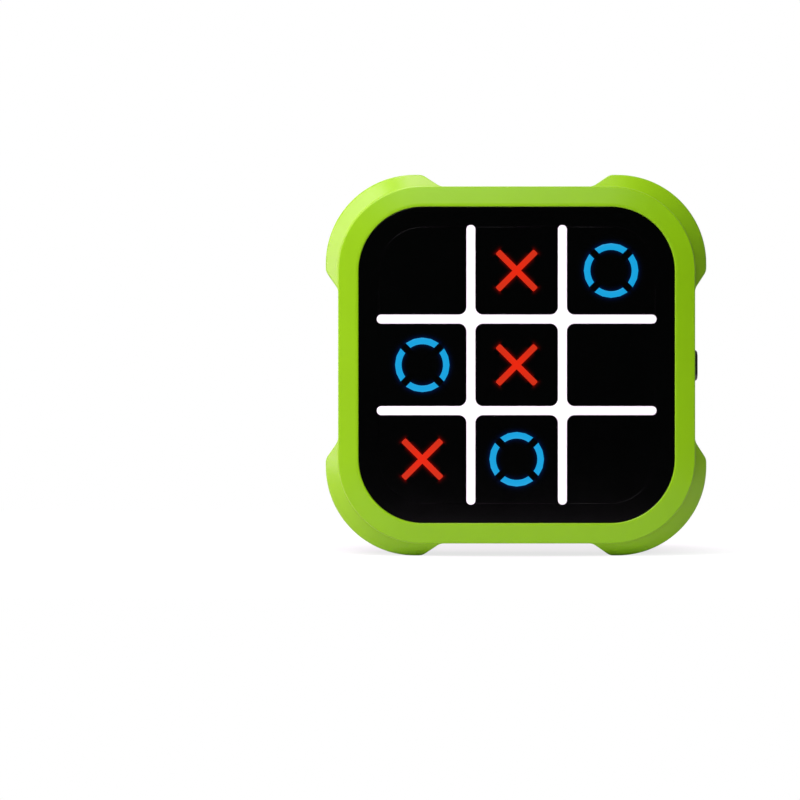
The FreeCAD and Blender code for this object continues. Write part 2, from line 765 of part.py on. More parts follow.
def make_fascia():
    """Black panel with nine key openings, a sunk grid and the posts for the board."""
    body = new_body("fascia")
    reach = size("panel_flange_reach")
    flange = new_sketch(body, fascia_back)
    draw_square(flange, panel_half + reach, size("panel_corner") + reach)
    pad(body, flange, size("panel_flange"))
    notch = new_sketch(body, ring_back)
    boss_place = size("case_boss_offset")
    clear = size("case_boss_radius") + size("case_boss_clearance")
    draw_post(notch, boss_place, boss_place, clear)
    repeat_around(body, pocket(body, notch, size("panel_flange")))
    panel = new_sketch(body, fascia_back)
    draw_square(panel, panel_half, size("panel_corner"))
    pad(body, panel, fascia_front - fascia_back)

    for column, row in cells():
        opening = new_sketch(body, fascia_front)
        draw_cell(opening, column, row, ZERO)
        pocket(body, opening, fascia_front - fascia_back)

    fit = size("line_fit")
    for upright in (False, True):
        groove = new_sketch(body, fascia_front)
        length, width = size("line_length") + fit * 2, size("line_width") + fit * 2
        draw_bars(groove, length, width, None, upright)
        pocket(body, groove, size("line_thickness"))

    posts = new_sketch(body, board_front)
    holes = new_sketch(body, fascia_back)
    for x, y in board_screw_places():
        draw_post(posts, x, y, size("board_boss_radius"))
        draw_post(holes, x, y, size("board_screw_radius") + size("screw_fit"))
    pad(body, posts, fascia_back - board_front)
    pocket(body, holes, fascia_back - board_front)


def board_screw_places():
    """Beside the ends of the grid's level lines."""
    return [(size("board_boss_x") * x, line_place * y) for x, y in CORNERS]


def make_grid_inlay():
    """White grid, level with the keys, with the corners of its crossings rounded."""
    body = new_body("grid_inlay")
    thickness = size("line_thickness")
    for upright in (False, True):
        bars = new_sketch(body, fascia_front - thickness)
        rounding = size("line_end_round")
        draw_bars(bars, size("line_length"), size("line_width"), rounding, upright)
        pad(body, bars, thickness)
    places = [(line_place + line_half).number, (line_place - line_half).number]

    def at_crossing(box):
        stands = near(box.ZLength, thickness) and box.XLength < NEAR and box.YLength < NEAR
        x_fits = any(near(abs(box.XMin), place) for place in places)
        y_fits = any(near(abs(box.YMin), place) for place in places)
        return stands and x_fits and y_fits

    dress_edges(body, "Fillet", size("key_corner") + size("key_gap"), at_crossing)


def draw_cross(sketch, x, y, half_length, half_width):
    """An X: two crossed bars along the diagonals, with square ends."""
    tip = ((half_length + half_width) * HALF_ROOT, (half_length - half_width) * HALF_ROOT)
    notch = half_width / HALF_ROOT
    corners = []
    for quarter in range(QUARTERS):
        for place in (tip[::-1], tip, (notch, ZERO)):
            turned_x, turned_y = turned(*place, -quarter % QUARTERS)
            corners.insert(0, (x + turned_x, y + turned_y, None))
    draw_outline(sketch, corners)


def draw_ring_segments(sketch, x, y, inner, outer, gap):
    """An O in four segments, with even gaps along the diagonals. Each arc is a run of
    short chords, with its corners where the circle meets the edge of the gap."""
    offset = gap / 2
    for quarter in range(QUARTERS):
        corners = []
        for radius, way in ((inner, -1), (outer, 1)):
            along = (radius * radius - offset * offset).root()
            end_x, end_y = (along + offset) * HALF_ROOT, (along - offset) * HALF_ROOT
            half_angle = math.atan2(end_y.number, end_x.number)
            for step in range(MARK_CHORDS + 1):
                angle = half_angle * (2 * step / MARK_CHORDS - 1) * way
                if step in (0, MARK_CHORDS):
                    place = (end_x, -end_y if angle < 0 else end_y)
                else:
                    place = (radius * math.cos(angle), radius * math.sin(angle))
                corners.append(turned(*place, quarter))
        draw_outline(sketch, [(x + px, y + py, None) for px, py in corners])


def stem_place(column, row):
    """A key's stem stands towards the middle of the board, clear of the outer corners."""
    x = cell_centre(column) + size("stem_offset") * (-column if column else 1)
    y = cell_centre(row) + size("stem_offset") * (-row if row else -1)
    return x, y


def make_key(column, row):
    """Key cap, hollow behind, with a lip that holds it behind the fascia, and a stem."""
    body = new_body(f"{cell_name(column, row)}_key")
    x, y = cell_centre(column), cell_centre(row)
    gap = size("key_gap")

    lip = new_sketch(body, key_back)
    draw_cell(lip, column, row, size("key_lip_reach"), field_cut=TANGENT_CUT)
    pad(body, lip, size("key_lip"))
    cap = new_sketch(body, key_back)
    draw_cell(cap, column, row, -gap, size("key_corner"))
    pad(body, cap, fascia_front - key_back)
    hollow = new_sketch(body, key_roof_back)
    draw_cell(hollow, column, row, -(gap + size("key_skirt")), field_cut=HOLLOW_CUT)
    pocket(body, hollow, key_roof_back - key_back)
    stem = new_sketch(body, plunger_front)
    draw_square(stem, size("stem_width") / 2, None, *stem_place(column, row))
    pad(body, stem, key_roof_back - plunger_front)

    fit = size("mark_fit")
    cross = new_sketch(body, fascia_front)
    draw_cross(cross, x, y, size("mark_arm") + fit, size("mark_bar") / 2 + fit)
    pocket(body, cross, size("mark_depth"))
    ring = new_sketch(body, fascia_front)
    inner, outer = size("mark_inner") - fit, size("mark_outer") + fit
    draw_ring_segments(ring, x, y, inner, outer, size("mark_gap") - fit * 2)
    pocket(body, ring, size("mark_depth"))


def make_x_window(column, row):
    body = new_body(f"{cell_name(column, row)}_x_window")
    cross = new_sketch(body, mark_back)
    x, y = cell_centre(column), cell_centre(row)
    draw_cross(cross, x, y, size("mark_arm"), size("mark_bar") / 2)
    pad(body, cross, size("mark_depth"))


def make_o_window(column, row):
    body = new_body(f"{cell_name(column, row)}_o_window")
    ring = new_sketch(body, mark_back)
    x, y = cell_centre(column), cell_centre(row)
    inner, outer = size("mark_inner"), size("mark_outer")
    draw_ring_segments(ring, x, y, inner, outer, size("mark_gap"))
    pad(body, ring, size("mark_depth"))


def make_plunger(column, row):
    body = new_body(f"{cell_name(column, row)}_plunger")
    start = switch_front - size("plunger_root")
    post = new_sketch(body, start)
    draw_square(post, size("plunger_width") / 2, None, *stem_place(column, row))
    pad(body, post, plunger_front - start)


# ---- behind the face -----------------------------------------------------------------


def make_light_baffle():
    """Stands on the board and keeps the light of each X and O in chambers of its own."""
    body = new_body("light_baffle")
    plate = new_sketch(body, board_front)
    half, cut = size("baffle_width") / 2, size("baffle_corner_cut")
    draw_quarters(plate, ZERO, ZERO, [(half, cut - half), (half, half - cut)])
    pad(body, plate, size("baffle_plate"))
    holes = new_sketch(body, board_front + size("baffle_plate"))
    for column, row in cells():
        x, y = stem_place(column, row)
        draw_square(holes, size("switch_width") / 2 + size("key_gap"), None, x, y)
    pocket(body, holes, size("baffle_plate"))

    for column, row in cells():
        x, y = cell_centre(column), cell_centre(row)
        tower = new_sketch(body, board_front)
        half = size("chamber_half")
        draw_quarters(tower, x, y, [(half, -half * OCTAGON), (half, half * OCTAGON)])
        pad(body, tower, chamber_front - board_front)

    for column, row in cells():
        x, y = cell_centre(column), cell_centre(row)
        chambers = new_sketch(body, chamber_front)
        wall = size("baffle_wall")
        draw_square(chambers, size("chamber_core") - wall, None, x, y)
        inner, outer = size("chamber_core"), size("chamber_half") - wall
        web = wall * HALF_ROOT
        wide = outer * OCTAGON + web
        chamber = [(inner, web - inner), (outer, -wide), (outer, wide), (inner, inner - web)]
        for quarter in range(QUARTERS):
            places = [turned(px, py, quarter) for px, py in chamber]
            draw_outline(chambers, [(x + px, y + py, None) for px, py in places])
        pocket(body, chambers, chamber_front - board_front)


def draw_quarters(sketch, x, y, places):
    """Draws an outline whose corners repeat in each quarter turn."""
    corners = [turned(*place, quarter) for quarter in range(QUARTERS) for place in places]
    draw_outline(sketch, [(x + px, y + py, None) for px, py in corners])


def make_board():
    """Circuit board with cut corners, screwed to the fascia's posts."""
    body = new_body("circuit_board")
    half, cut = size("board_width") / 2, size("board_corner_cut")
    plate = new_sketch(body, board_back)
    draw_quarters(plate, ZERO, ZERO, [(half, cut - half), (half, half - cut)])
    pad(body, plate, size("board_thickness"))
    holes = new_sketch(body, board_front)
    for x, y in board_screw_places():
        draw_post(holes, x, y, size("board_screw_radius") + size("screw_fit"))
    pocket(body, holes, size("board_thickness"))


def make_board_screws():
    make_screws(
        "board_screws",
        board_screw_places(),
        board_back,
        size("board_screw_head"),
        size("board_screw_head_height"),
        size("board_screw_radius"),
        size("board_screw_length"),
    )


def make_key_switches():
    """Nine switch bodies, each with the bore that its plunger sinks into."""
    body = new_body("key_switches")
    blocks = new_sketch(body, board_front)
    bores = new_sketch(body, switch_front)
    for column, row in cells():
        x, y = stem_place(column, row)
        draw_square(blocks, size("switch_width") / 2, None, x, y)
        draw_square(bores, size("plunger_width") / 2 + size("plunger_fit"), None, x, y)
    pad(body, blocks, size("switch_height"))
    depth = size("plunger_root") + size("key_travel") + size("plunger_fit")
    pocket(body, bores, depth)


def make_red_diodes():
    """One behind the middle of each X."""
    body = new_body("red_diodes")
    sketch = new_sketch(body, board_front)
    half_length, half_width = size("led_length") / 2, size("led_width") / 2
    for column, row in cells():
        x, y = cell_centre(column), cell_centre(row)
        draw_rectangle(sketch, x - half_length, x + half_length, y - half_width, y + half_width)
    pad(body, sketch, size("led_height"))


def make_blue_diodes():
    """One behind each of the four segments of every O."""
    body = new_body("blue_diodes")
    half_length, half_width = size("led_length") / 2, size("led_width") / 2
    reach = (size("mark_inner") + size("mark_outer")) / 2
    for quarter in range(QUARTERS):
        sketch = new_sketch(body, board_front)
        for column, row in cells():
            low = turned(reach - half_width, -half_length, quarter)
            high = turned(reach + half_width, half_length, quarter)
            xs = sorted((low[0], high[0]), key=number_of)
            ys = sorted((low[1], high[1]), key=number_of)
            x, y = cell_centre(column), cell_centre(row)
            draw_rectangle(sketch, x + xs[0], x + xs[1], y + ys[0], y + ys[1])
        pad(body, sketch, size("led_height"))


def make_controller_chip():
    """Low glob of resin over the controller chip, on the back of the board."""
    body = new_body("controller_chip")
    glob = new_sketch(body, board_back - size("chip_height"))
    draw_post(glob, -size("chip_x"), size("chip_y"), size("chip_radius"))
    pad(body, glob, size("chip_height"))


def make_speaker():
    """Round speaker: rim, basket and magnet, with its face to the grille."""
    body = new_body("speaker")
    start = size("cover_thickness")
    steps = (
        (draw_circle, size("speaker_radius"), size("speaker_rim")),
        (draw_post, size("speaker_basket"), size("speaker_basket_height")),
        (draw_post, size("speaker_magnet"), size("speaker_magnet_height")),
    )
    for draw, radius, height in steps:
        sketch = new_sketch(body, start)
        draw(sketch, ZERO, size("speaker_offset"), radius)
        pad(body, sketch, height)
        start = start + height


# ---- power ---------------------------------------------------------------------------


def cell_rows():
    """The three cells, lowest first: middle line and the way the nub points."""
    return [(bay_middle + cell_pitch * row, 1 if row else -1) for row in (-1, 0, 1)]


def pad_between(body, draw, y, radius, start, end):
    """Raises an outline along x, about a cell's middle line, from one place to another."""
    low, high = sorted((start, end), key=number_of)
    sketch = new_sketch(body, low, "YZ_Plane")
    draw(sketch, y, cell_height, radius)
    pad(body, sketch, high - low)


def make_battery_cells():
    """Three AAA cells side by side, the middle one turned about."""
    body = new_body("battery_cells")
    nub_face = bay_half_length - size("contact_thickness")
    for y, way in cell_rows():
        shoulder = (nub_face - size("cell_nub")) * way
        base = (nub_face - size("cell_length")) * way
        pad_between(body, draw_circle, y, size("cell_radius"), base, shoulder)
        pad_between(body, draw_post, y, size("cell_nub_radius"), shoulder, nub_face * way)


def make_contact_springs():
    """Plate and coil spring at the flat end of each cell, the coil as a plain post."""
    body = new_body("contact_springs")
    for y, way in cell_rows():
        wall = -bay_half_length * way
        seat = (size("contact_thickness") - bay_half_length) * way
        tip = (size("contact_thickness") + size("spring_length") - bay_half_length) * way
        pad_between(body, draw_contact, y, size("contact_width") / 2, wall, seat)
        pad_between(body, draw_post, y, size("spring_radius"), seat, tip)


def draw_contact(sketch, x, y, half):
    draw_square(sketch, half, None, x, y)


def make_contact_plates():
    """Flat plate at the nub of each cell."""
    body = new_body("contact_plates")
    for y, way in cell_rows():
        wall = bay_half_length * way
        face = (bay_half_length - size("contact_thickness")) * way
        pad_between(body, draw_contact, y, size("contact_width") / 2, face, wall)


# ---- the side button -----------------------------------------------------------------


def draw_button_outline(sketch, grow, rounded=True):
    """The oval of the side button, or its square lip, in the plane of the right wall."""
    half_length = size("button_length") / 2 + grow
    half_width = size("button_width") / 2 + grow
    low, high = front / 2 - half_width, front / 2 + half_width
    corner = half_width * BUTTON_END_SHARE if rounded else None
    draw_rectangle(sketch, -half_length, half_length, low, high, corner)


def make_side_button():
    """Oval push button with a lip inside the wall."""
    body = new_body("side_button")
    lip_inner = side_lip_outer - size("button_lip")
    lip = new_sketch(body, lip_inner, "YZ_Plane")
    draw_button_outline(lip, size("button_lip"), rounded=False)
    pad(body, lip, size("button_lip"))
    face = case_half + size("button_height")
    cap = new_sketch(body, lip_inner, "YZ_Plane")
    draw_button_outline(cap, ZERO)
    pad(body, cap, face - lip_inner)

    def outermost(box):
        return near(box.XMin, face) and near(box.XMax, face)

    dress_edges(body, "Chamfer", size("button_bevel"), outermost)


def make_side_switch():
    """Switch on the back of the board, at its right edge, facing the button."""
    body = new_body("side_switch")
    inner, outer = side_switch_face - size("side_switch_depth"), side_switch_face
    half = size("side_switch_width") / 2
    middle = front / 2
    block = new_sketch(body, middle - (board_back - middle))
    draw_rectangle(block, inner, outer, -half, half)
    pad(body, block, (board_back - middle) * 2)
    bore = new_sketch(body, outer, "YZ_Plane")
    draw_square(bore, size("side_plunger_width") / 2 + size("plunger_fit"), None, ZERO, middle)
    pocket(body, bore, size("plunger_root") + size("button_travel") + size("plunger_fit"))


def make_side_plunger():
    body = new_body("side_switch_plunger")
    start = side_switch_face - size("plunger_root")
    post = new_sketch(body, start, "YZ_Plane")
    draw_square(post, size("side_plunger_width") / 2, None, ZERO, front / 2)
    pad(body, post, size("side_switch_reach") + size("plunger_root"))


# ---- the whole game ------------------------------------------------------------------

make_front_shell()
make_rear_cover()
make_battery_door()
make_case_screws()
make_door_screw()
make_fascia()
make_grid_inlay()
for column, row in cells():
    make_key(column, row)
    make_x_window(column, row)
    make_o_window(column, row)
    make_plunger(column, row)
make_light_baffle()
make_board()
make_board_screws()
make_key_switches()
make_red_diodes()
make_blue_diodes()
make_controller_chip()
make_speaker()
make_battery_cells()
make_contact_springs()
make_contact_plates()
make_side_button()
make_side_switch()
make_side_plunger()
doc.recompute()

for item in doc.Objects:
    if "Invalid" in item.State or "Error" in item.State:
        raise SystemExit(f"{item.Label} ({item.Name}) did not build: {item.State}")
    if item.TypeId in ("PartDesign::Pocket", "PartDesign::PolarPattern"):
        change = item.Shape.Volume - item.BaseFeature.Shape.Volume
        if abs(change) < SMALLEST_CUT:
            raise SystemExit(f"{item.Name} changes nothing")

os.makedirs("parts", exist_ok=True)
for body in doc.findObjects("PartDesign::Body"):
    if body.Shape.isNull() or not body.Shape.isValid():
        raise SystemExit(f"{body.Label} has no valid shape")
    body.Shape.exportStep(os.path.join("parts", body.Label + ".step"))
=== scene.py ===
"""A hand-held electronic tic tac toe game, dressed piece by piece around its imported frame.

The playing face looks along -Y, +Z is up and the side button is on the +X wall. Sizes are
in millimetres, and MM turns them into the frame's metres.
"""

import bmesh
import bpy
import numpy as np
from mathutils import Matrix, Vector


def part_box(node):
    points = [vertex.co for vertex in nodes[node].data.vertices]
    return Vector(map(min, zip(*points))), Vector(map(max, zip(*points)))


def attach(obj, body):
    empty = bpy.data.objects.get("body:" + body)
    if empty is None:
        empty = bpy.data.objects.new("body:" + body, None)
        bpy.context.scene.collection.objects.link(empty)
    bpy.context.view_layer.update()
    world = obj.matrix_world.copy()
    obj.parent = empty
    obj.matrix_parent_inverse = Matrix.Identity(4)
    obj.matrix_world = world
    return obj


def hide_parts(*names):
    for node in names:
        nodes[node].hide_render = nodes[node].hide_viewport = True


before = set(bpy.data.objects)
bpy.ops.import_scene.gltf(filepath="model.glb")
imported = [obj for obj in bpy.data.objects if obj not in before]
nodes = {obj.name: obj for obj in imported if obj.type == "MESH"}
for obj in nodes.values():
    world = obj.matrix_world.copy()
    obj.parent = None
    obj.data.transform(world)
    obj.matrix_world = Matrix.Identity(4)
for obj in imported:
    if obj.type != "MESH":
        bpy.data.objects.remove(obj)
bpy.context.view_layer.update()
MM = 0.001


# ---- the view ----------------------------------------------------------------------------
# A long lens looks level at the playing face from nearly a metre away. The camera stands to
# the left and a little low, so the game is right of the picture's middle.


def make_camera():
    """The camera's place is in metres."""
    camera_data = bpy.data.cameras.new("camera")
    camera_data.lens = 159.8
    camera_data.sensor_width = 36
    camera_data.clip_start = 0.01
    camera = bpy.data.objects.new("camera", camera_data)
    camera.location = (-0.02958, -0.9134, 0.0396)
    camera.rotation_euler = (np.pi / 2, 0, 0)
    bpy.context.scene.collection.objects.link(camera)
    bpy.context.scene.camera = camera


make_camera()


# ---- front shell -------------------------------------------------------------------------
# One lime green moulding, satin: the front ring, the side walls, four corner bumpers whose
# bevels fall away from the ring, and four screw posts. The rear cover closes its open back.


def node(tree, kind, inputs=None, **settings):
    """A node with its settings, and its numbered or named inputs linked or set."""
    made = tree.nodes.new(kind)
    for key, value in settings.items():
        setattr(made, key, value)
    for socket, source in (inputs or {}).items():
        if isinstance(source, bpy.types.NodeSocket):
            tree.links.new(source, made.inputs[socket])
        else:
            made.inputs[socket].default_value = source
    return made


def maths(tree, operation, *values, clamp=False):
    """One arithmetic node and its result."""
    made = node(tree, "ShaderNodeMath", dict(enumerate(values)), operation=operation)
    made.use_clamp = clamp
    return made.outputs[0]


def mapped(tree, value, start, end, low, high, **settings):
    """A value's run from start to end turned into low to high, and held there past both."""
    ranges = {"Value": value, "From Min": start, "From Max": end, "To Min": low, "To Max": high}
    return node(tree, "ShaderNodeMapRange", ranges, **settings).outputs["Result"]


def new_group(name, inputs, outputs):
    """A node group with named inputs, each with its usual value, and named outputs."""
    group = bpy.data.node_groups.new(name, "ShaderNodeTree")
    for socket, kind, value in inputs:
        made = group.interface.new_socket(socket, in_out="INPUT", socket_type=kind)
        made.default_value = value
    for socket, kind in outputs:
        group.interface.new_socket(socket, in_out="OUTPUT", socket_type=kind)
    return group, group.nodes.new("NodeGroupInput"), group.nodes.new("NodeGroupOutput")


def make_moulded_group():
    """What the moulded plastics share: faint flow clouds in the colour, an uneven polish and
    the fine grain of the mould."""
    group, given, result = new_group(
        "moulded_plastic",
        [
            ("Color", "NodeSocketColor", (0.5, 0.5, 0.5, 1)),
            ("Clouds", "NodeSocketFloat", 0.03),
            ("Roughness", "NodeSocketFloat", 0.4),
            ("Roughness Spread", "NodeSocketFloat", 0.05),
            ("Grain Size", "NodeSocketFloat", 2500.0),
            ("Grain Depth", "NodeSocketFloat", 0.1),
        ],
        [
            ("Color", "NodeSocketColor"),
            ("Roughness", "NodeSocketFloat"),
            ("Normal", "NodeSocketVector"),
        ],
    )
    given = given.outputs
    place = node(group, "ShaderNodeTexCoord").outputs["Object"]

    def noise(scale, detail=2.0):
        inputs = {"Vector": place, "Scale": scale, "Detail": detail}
        return node(group, "ShaderNodeTexNoise", inputs).outputs["Fac"]

    cloud = mapped(group, noise(45.0, detail=3.0), 0.3, 0.7, -1.0, 1.0)
    amount = maths(group, "MULTIPLY_ADD", cloud, given["Clouds"], 1.0)
    tinted = node(
        group, "ShaderNodeVectorMath", {0: given["Color"], "Scale": amount}, operation="SCALE"
    )
    group.links.new(tinted.outputs[0], result.inputs["Color"])
    smear = maths(group, "SUBTRACT", noise(160.0, detail=4.0), 0.5)
    rough = maths(group, "MULTIPLY_ADD", smear, given["Roughness Spread"], given["Roughness"])
    group.links.new(rough, result.inputs["Roughness"])
    grain = noise(given["Grain Size"])
    bump = node(
        group,
        "ShaderNodeBump",
        {"Height": grain, "Strength": given["Grain Depth"], "Distance": 5e-5},
    )
    group.links.new(bump.outputs["Normal"], result.inputs["Normal"])
    return group


moulded = make_moulded_group()


def inside(material):
    """A material's node tree and its shader."""
    return material.node_tree, material.node_tree.nodes["Principled BSDF"]


def new_material(name):
    """An empty material with its node tree and its shader."""
    material = bpy.data.materials.new(name)
    material.use_nodes = True
    return material, *inside(material)


def plastic(
    name, color, roughness, grain=0.1, clouds=0.03, spread=0.05, size=2500.0, specular=0.5
):
    """A plain moulded plastic with the shared mould texture."""
    material, tree, shader = new_material(name)
    finish = node(
        tree,
        "ShaderNodeGroup",
        {
            "Color": (*color, 1),
            "Clouds": clouds,
            "Roughness": roughness,
            "Roughness Spread": spread,
            "Grain Size": size,
            "Grain Depth": grain,
        },
        node_tree=moulded,
    )
    tree.links.new(finish.outputs["Color"], shader.inputs["Base Color"])
    tree.links.new(finish.outputs["Roughness"], shader.inputs["Roughness"])
    tree.links.new(finish.outputs["Normal"], shader.inputs["Normal"])
    shader.inputs["Specular IOR Level"].default_value = specular
    return material


case_green = plastic("case_green", (0.188, 0.42, 0.003), 0.3, grain=0.06, specular=0.25)

# Half widths across the case and its opening, and radii of their corners.
CASE_HALF, CASE_CORNER, RING_CORNER = 45.3, 19.4, 21.4
OPENING_HALF, OPENING_CORNER = 40.1, 16.4
# Heights above the back.
FRONT, RING_EDGE, BEVEL_START, RING_BACK, HOLLOW_FRONT = 27.0, 26.4, 25.6, 24.8, 22.4
RING_LAND, WALL = 0.7, 2.2
# A bumper stands out by its overhang. Past the corner's arc come its flat and its ramp, with
# bends at the ramp's crest and foot, and the hollow behind it ends sooner.
OVERHANG, BUMPER_FLAT, BUMPER_RAMP, HOLLOW_END = 3.2, 2.0, 4.6, 1.0
CREST_BEND, FOOT_BEND = 0.9, 1.0
# A screw post's radius and back end, and the radius and blind end of the hole in it.
POST_RADIUS, POST_BACK, HOLE_RADIUS, HOLE_END = 2.6, 4.2, 1.15, 12.2
BUTTON_HALF_LENGTH, BUTTON_HALF_WIDTH, BUTTON_GAP = 4.0, 1.9, 0.15
# Where the frame has the middle of the face, along Z, and the case's back, along Y.
CASE_MIDDLE, CASE_BACK = 48.5, 13.5


def at_corners(across, up):
    """The four corners of a rectangle about the middle."""
    return [(across * x, up * y) for x, y in ((-1, -1), (1, -1), (1, 1), (-1, 1))]


SCREW_PLACES = at_corners(37.2, 37.2)
ARC = np.linspace(0, np.pi / 2, 33)


def quadratic(start, middle, end, t):
    """Points of a curve that leaves for the middle and arrives from it:
    B(t) = (1-t)^2 A + 2t(1-t) C + t^2 E."""
    return (1 - t) ** 2 * start + 2 * t * (1 - t) * middle + t**2 * end


def bumper_side():
    """From the end of a corner's arc to the middle of the side, as rows of distance and
    bumper height: the bumper's flat, its ramp and the wall, with a quadratic curve over the
    ramp's crest and foot."""
    foot = BUMPER_FLAT + BUMPER_RAMP
    slope = np.arctan2(OVERHANG, BUMPER_RAMP)

    def bend(middle, before, after, reach):
        start = middle - reach * np.array([np.cos(before), np.sin(before)])
        end = middle + reach * np.array([np.cos(after), np.sin(after)])
        return quadratic(start, middle, end, np.linspace(0, 1, 9)[:, None])

    flat = [[distance, OVERHANG] for distance in (0.3, HOLLOW_END - 0.03, HOLLOW_END + 0.03)]
    crest_bend = bend(np.array([BUMPER_FLAT, OVERHANG]), 0, -slope, CREST_BEND)
    foot_bend = bend(np.array([foot, 0]), -slope, 0, FOOT_BEND)
    wall = np.linspace(foot + FOOT_BEND + 0.3, CASE_HALF - CASE_CORNER, 8)
    wall = np.stack([wall, np.zeros(8)], axis=-1)
    return np.concatenate([flat, crest_bend, foot_bend, wall])


def outline(half, corner, along_share):
    """The quarter outline of a rounded square as points and outward directions: a side, the
    corner arc and the next side. along_share is the distance past the arc's end as a share
    of the straight half side."""
    centre = half - corner
    share = along_share[::-1]
    first = np.stack([np.full(len(share), half), centre - share * centre], axis=-1)
    first_out = np.tile([1.0, 0.0], (len(share), 1))
    arc_out = np.stack([np.cos(ARC), np.sin(ARC)], axis=-1)
    arc = centre + corner * arc_out
    last = first[::-1, ::-1]
    last_out = first_out[::-1, ::-1]
    return np.concatenate([first, arc, last]), np.concatenate([first_out, arc_out, last_out])


def all_quarters(values):
    """A quarter's planar vectors turned by 0, 90, 180 and 270 degrees, end on end."""
    turns = [np.array([[c, s], [-s, c]]) for c, s in ((1, 0), (0, 1), (-1, 0), (0, -1))]
    return np.concatenate([(values @ spin)[:-1] for spin in turns])


def on_ring(points):
    """The case outline's points, moved inwards in the corners to the ring's larger radius."""
    centre = CASE_HALF - RING_CORNER
    beyond = np.maximum(np.abs(points) - centre, 0)
    reach = np.linalg.norm(beyond, axis=-1, keepdims=True)
    moved = np.sign(points) * (centre + RING_CORNER * beyond / reach)
    return np.where((beyond > 0).all(axis=-1, keepdims=True), moved, points)


def rounded(corners, reaches, steps):
    """Corners softened one by one, by a quadratic curve from a reach before each corner to a
    reach after it. corners is (corner, ..., 2 or 3) for a closed profile, and reaches holds
    the length taken off both sides of each."""
    before = np.roll(corners, 1, axis=0) - corners
    after = np.roll(corners, -1, axis=0) - corners
    length_before = np.linalg.norm(before, axis=-1, keepdims=True)
    length_after = np.linalg.norm(after, axis=-1, keepdims=True)
    reach = np.reshape(reaches, (-1,) + (1,) * (corners.ndim - 1))
    reach = np.minimum(reach, 0.45 * np.minimum(length_before, length_after))
    start = corners + before / np.maximum(length_before, 1e-12) * reach
    end = corners + after / np.maximum(length_after, 1e-12) * reach
    t = np.linspace(0, 1, steps).reshape((1, steps) + (1,) * (corners.ndim - 1))
    curve = quadratic(start[:, None], corners[:, None], end[:, None], t)
    return curve.reshape((-1,) + corners.shape[1:])


def grid_faces(rows, columns, rows_close, columns_close):
    """Quads between neighbours of a rows x columns grid, which may close on itself."""
    row = np.arange(rows if rows_close else rows - 1)[:, None]
    column = np.arange(columns if columns_close else columns - 1)[None, :]
    next_row, next_column = (row + 1) % rows, (column + 1) % columns
    corners = (
        row * columns + column,
        row * columns + next_column,
        next_row * columns + next_column,
        next_row * columns + column,
    )
    return np.stack(corners, axis=-1).reshape(-1, 4).tolist()


def capped_faces(rings, count):
    """The skin over a row of rings, and a face over the first and the last of them."""
    last = (rings - 1) * count
    ends = [list(range(count))[::-1], list(range(last, last + count))]
    return grid_faces(rings, count, False, True) + ends


def in_frame(across, up, height):
    """Points given from the face's middle and the back, in mm, put in the frame."""
    across, up, height = np.broadcast_arrays(across, up, height)
    return np.stack([across, CASE_BACK - height, CASE_MIDDLE + up], axis=-1) * MM


def turned(profile, steps=64):
    """A profile of (radius, height) turned about its axis: points (r cos a, r sin a, h)."""
    radius, height = np.transpose(profile)[:, :, None]
    angle = np.linspace(0, 2 * np.pi, steps + 1)[:-1]
    shape = np.broadcast_arrays(radius * np.cos(angle), radius * np.sin(angle), height)
    return shape, grid_faces(len(profile), steps, False, True)


def standing(profile, across, up, steps=64):
    """A turned form that points forwards from the back, about a place on the face."""
    shape, faces = turned(profile, steps)
    return in_frame(across + shape[0], up + shape[1], shape[2]), faces


def joined(parts):
    """Several sets of points and faces as one."""
    points, faces, first = [], [], 0
    for part_points, part_faces in parts:
        flat = np.reshape(part_points, (-1, 3))
        points.append(flat)
        faces += [[corner + first for corner in face] for face in part_faces]
        first += len(flat)
    return np.concatenate(points), faces


def finish_piece(name, node_name, body, material, mesh, sharp):
    """Puts a mesh on its body in place of its node, smooth but for edges sharper than the
    given degrees. Each flat is shaded as flat, and only the rounds beside it as round."""
    mesh.materials.clear()
    mesh.materials.append(material)
    mesh.shade_smooth()
    mesh.set_sharp_from_angle(angle=np.radians(sharp))
    piece = bpy.data.objects.new(name, mesh)
    bpy.context.scene.collection.objects.link(piece)
    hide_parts(node_name)
    flats = piece.modifiers.new("flats", "WEIGHTED_NORMAL")
    flats.weight = 100
    flats.keep_sharp = True
    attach(piece, body)
    return piece


def add_piece(name, node_name, body, slot, material, points, faces, sharp=35):
    """A piece from points in metres and faces, with doubles merged and faces turned out."""
    mesh = bpy.data.meshes.new(name)
    mesh.from_pydata(np.reshape(points, (-1, 3)).tolist(), [], faces)
    work = bmesh.new()
    work.from_mesh(mesh)
    bmesh.ops.remove_doubles(work, verts=work.verts, dist=1e-7)
    bmesh.ops.dissolve_degenerate(work, edges=work.edges, dist=1e-8)
    bmesh.ops.recalc_face_normals(work, faces=work.faces)
    work.to_mesh(mesh)
    work.free()
    return finish_piece(name, node_name, body, material, mesh, sharp)


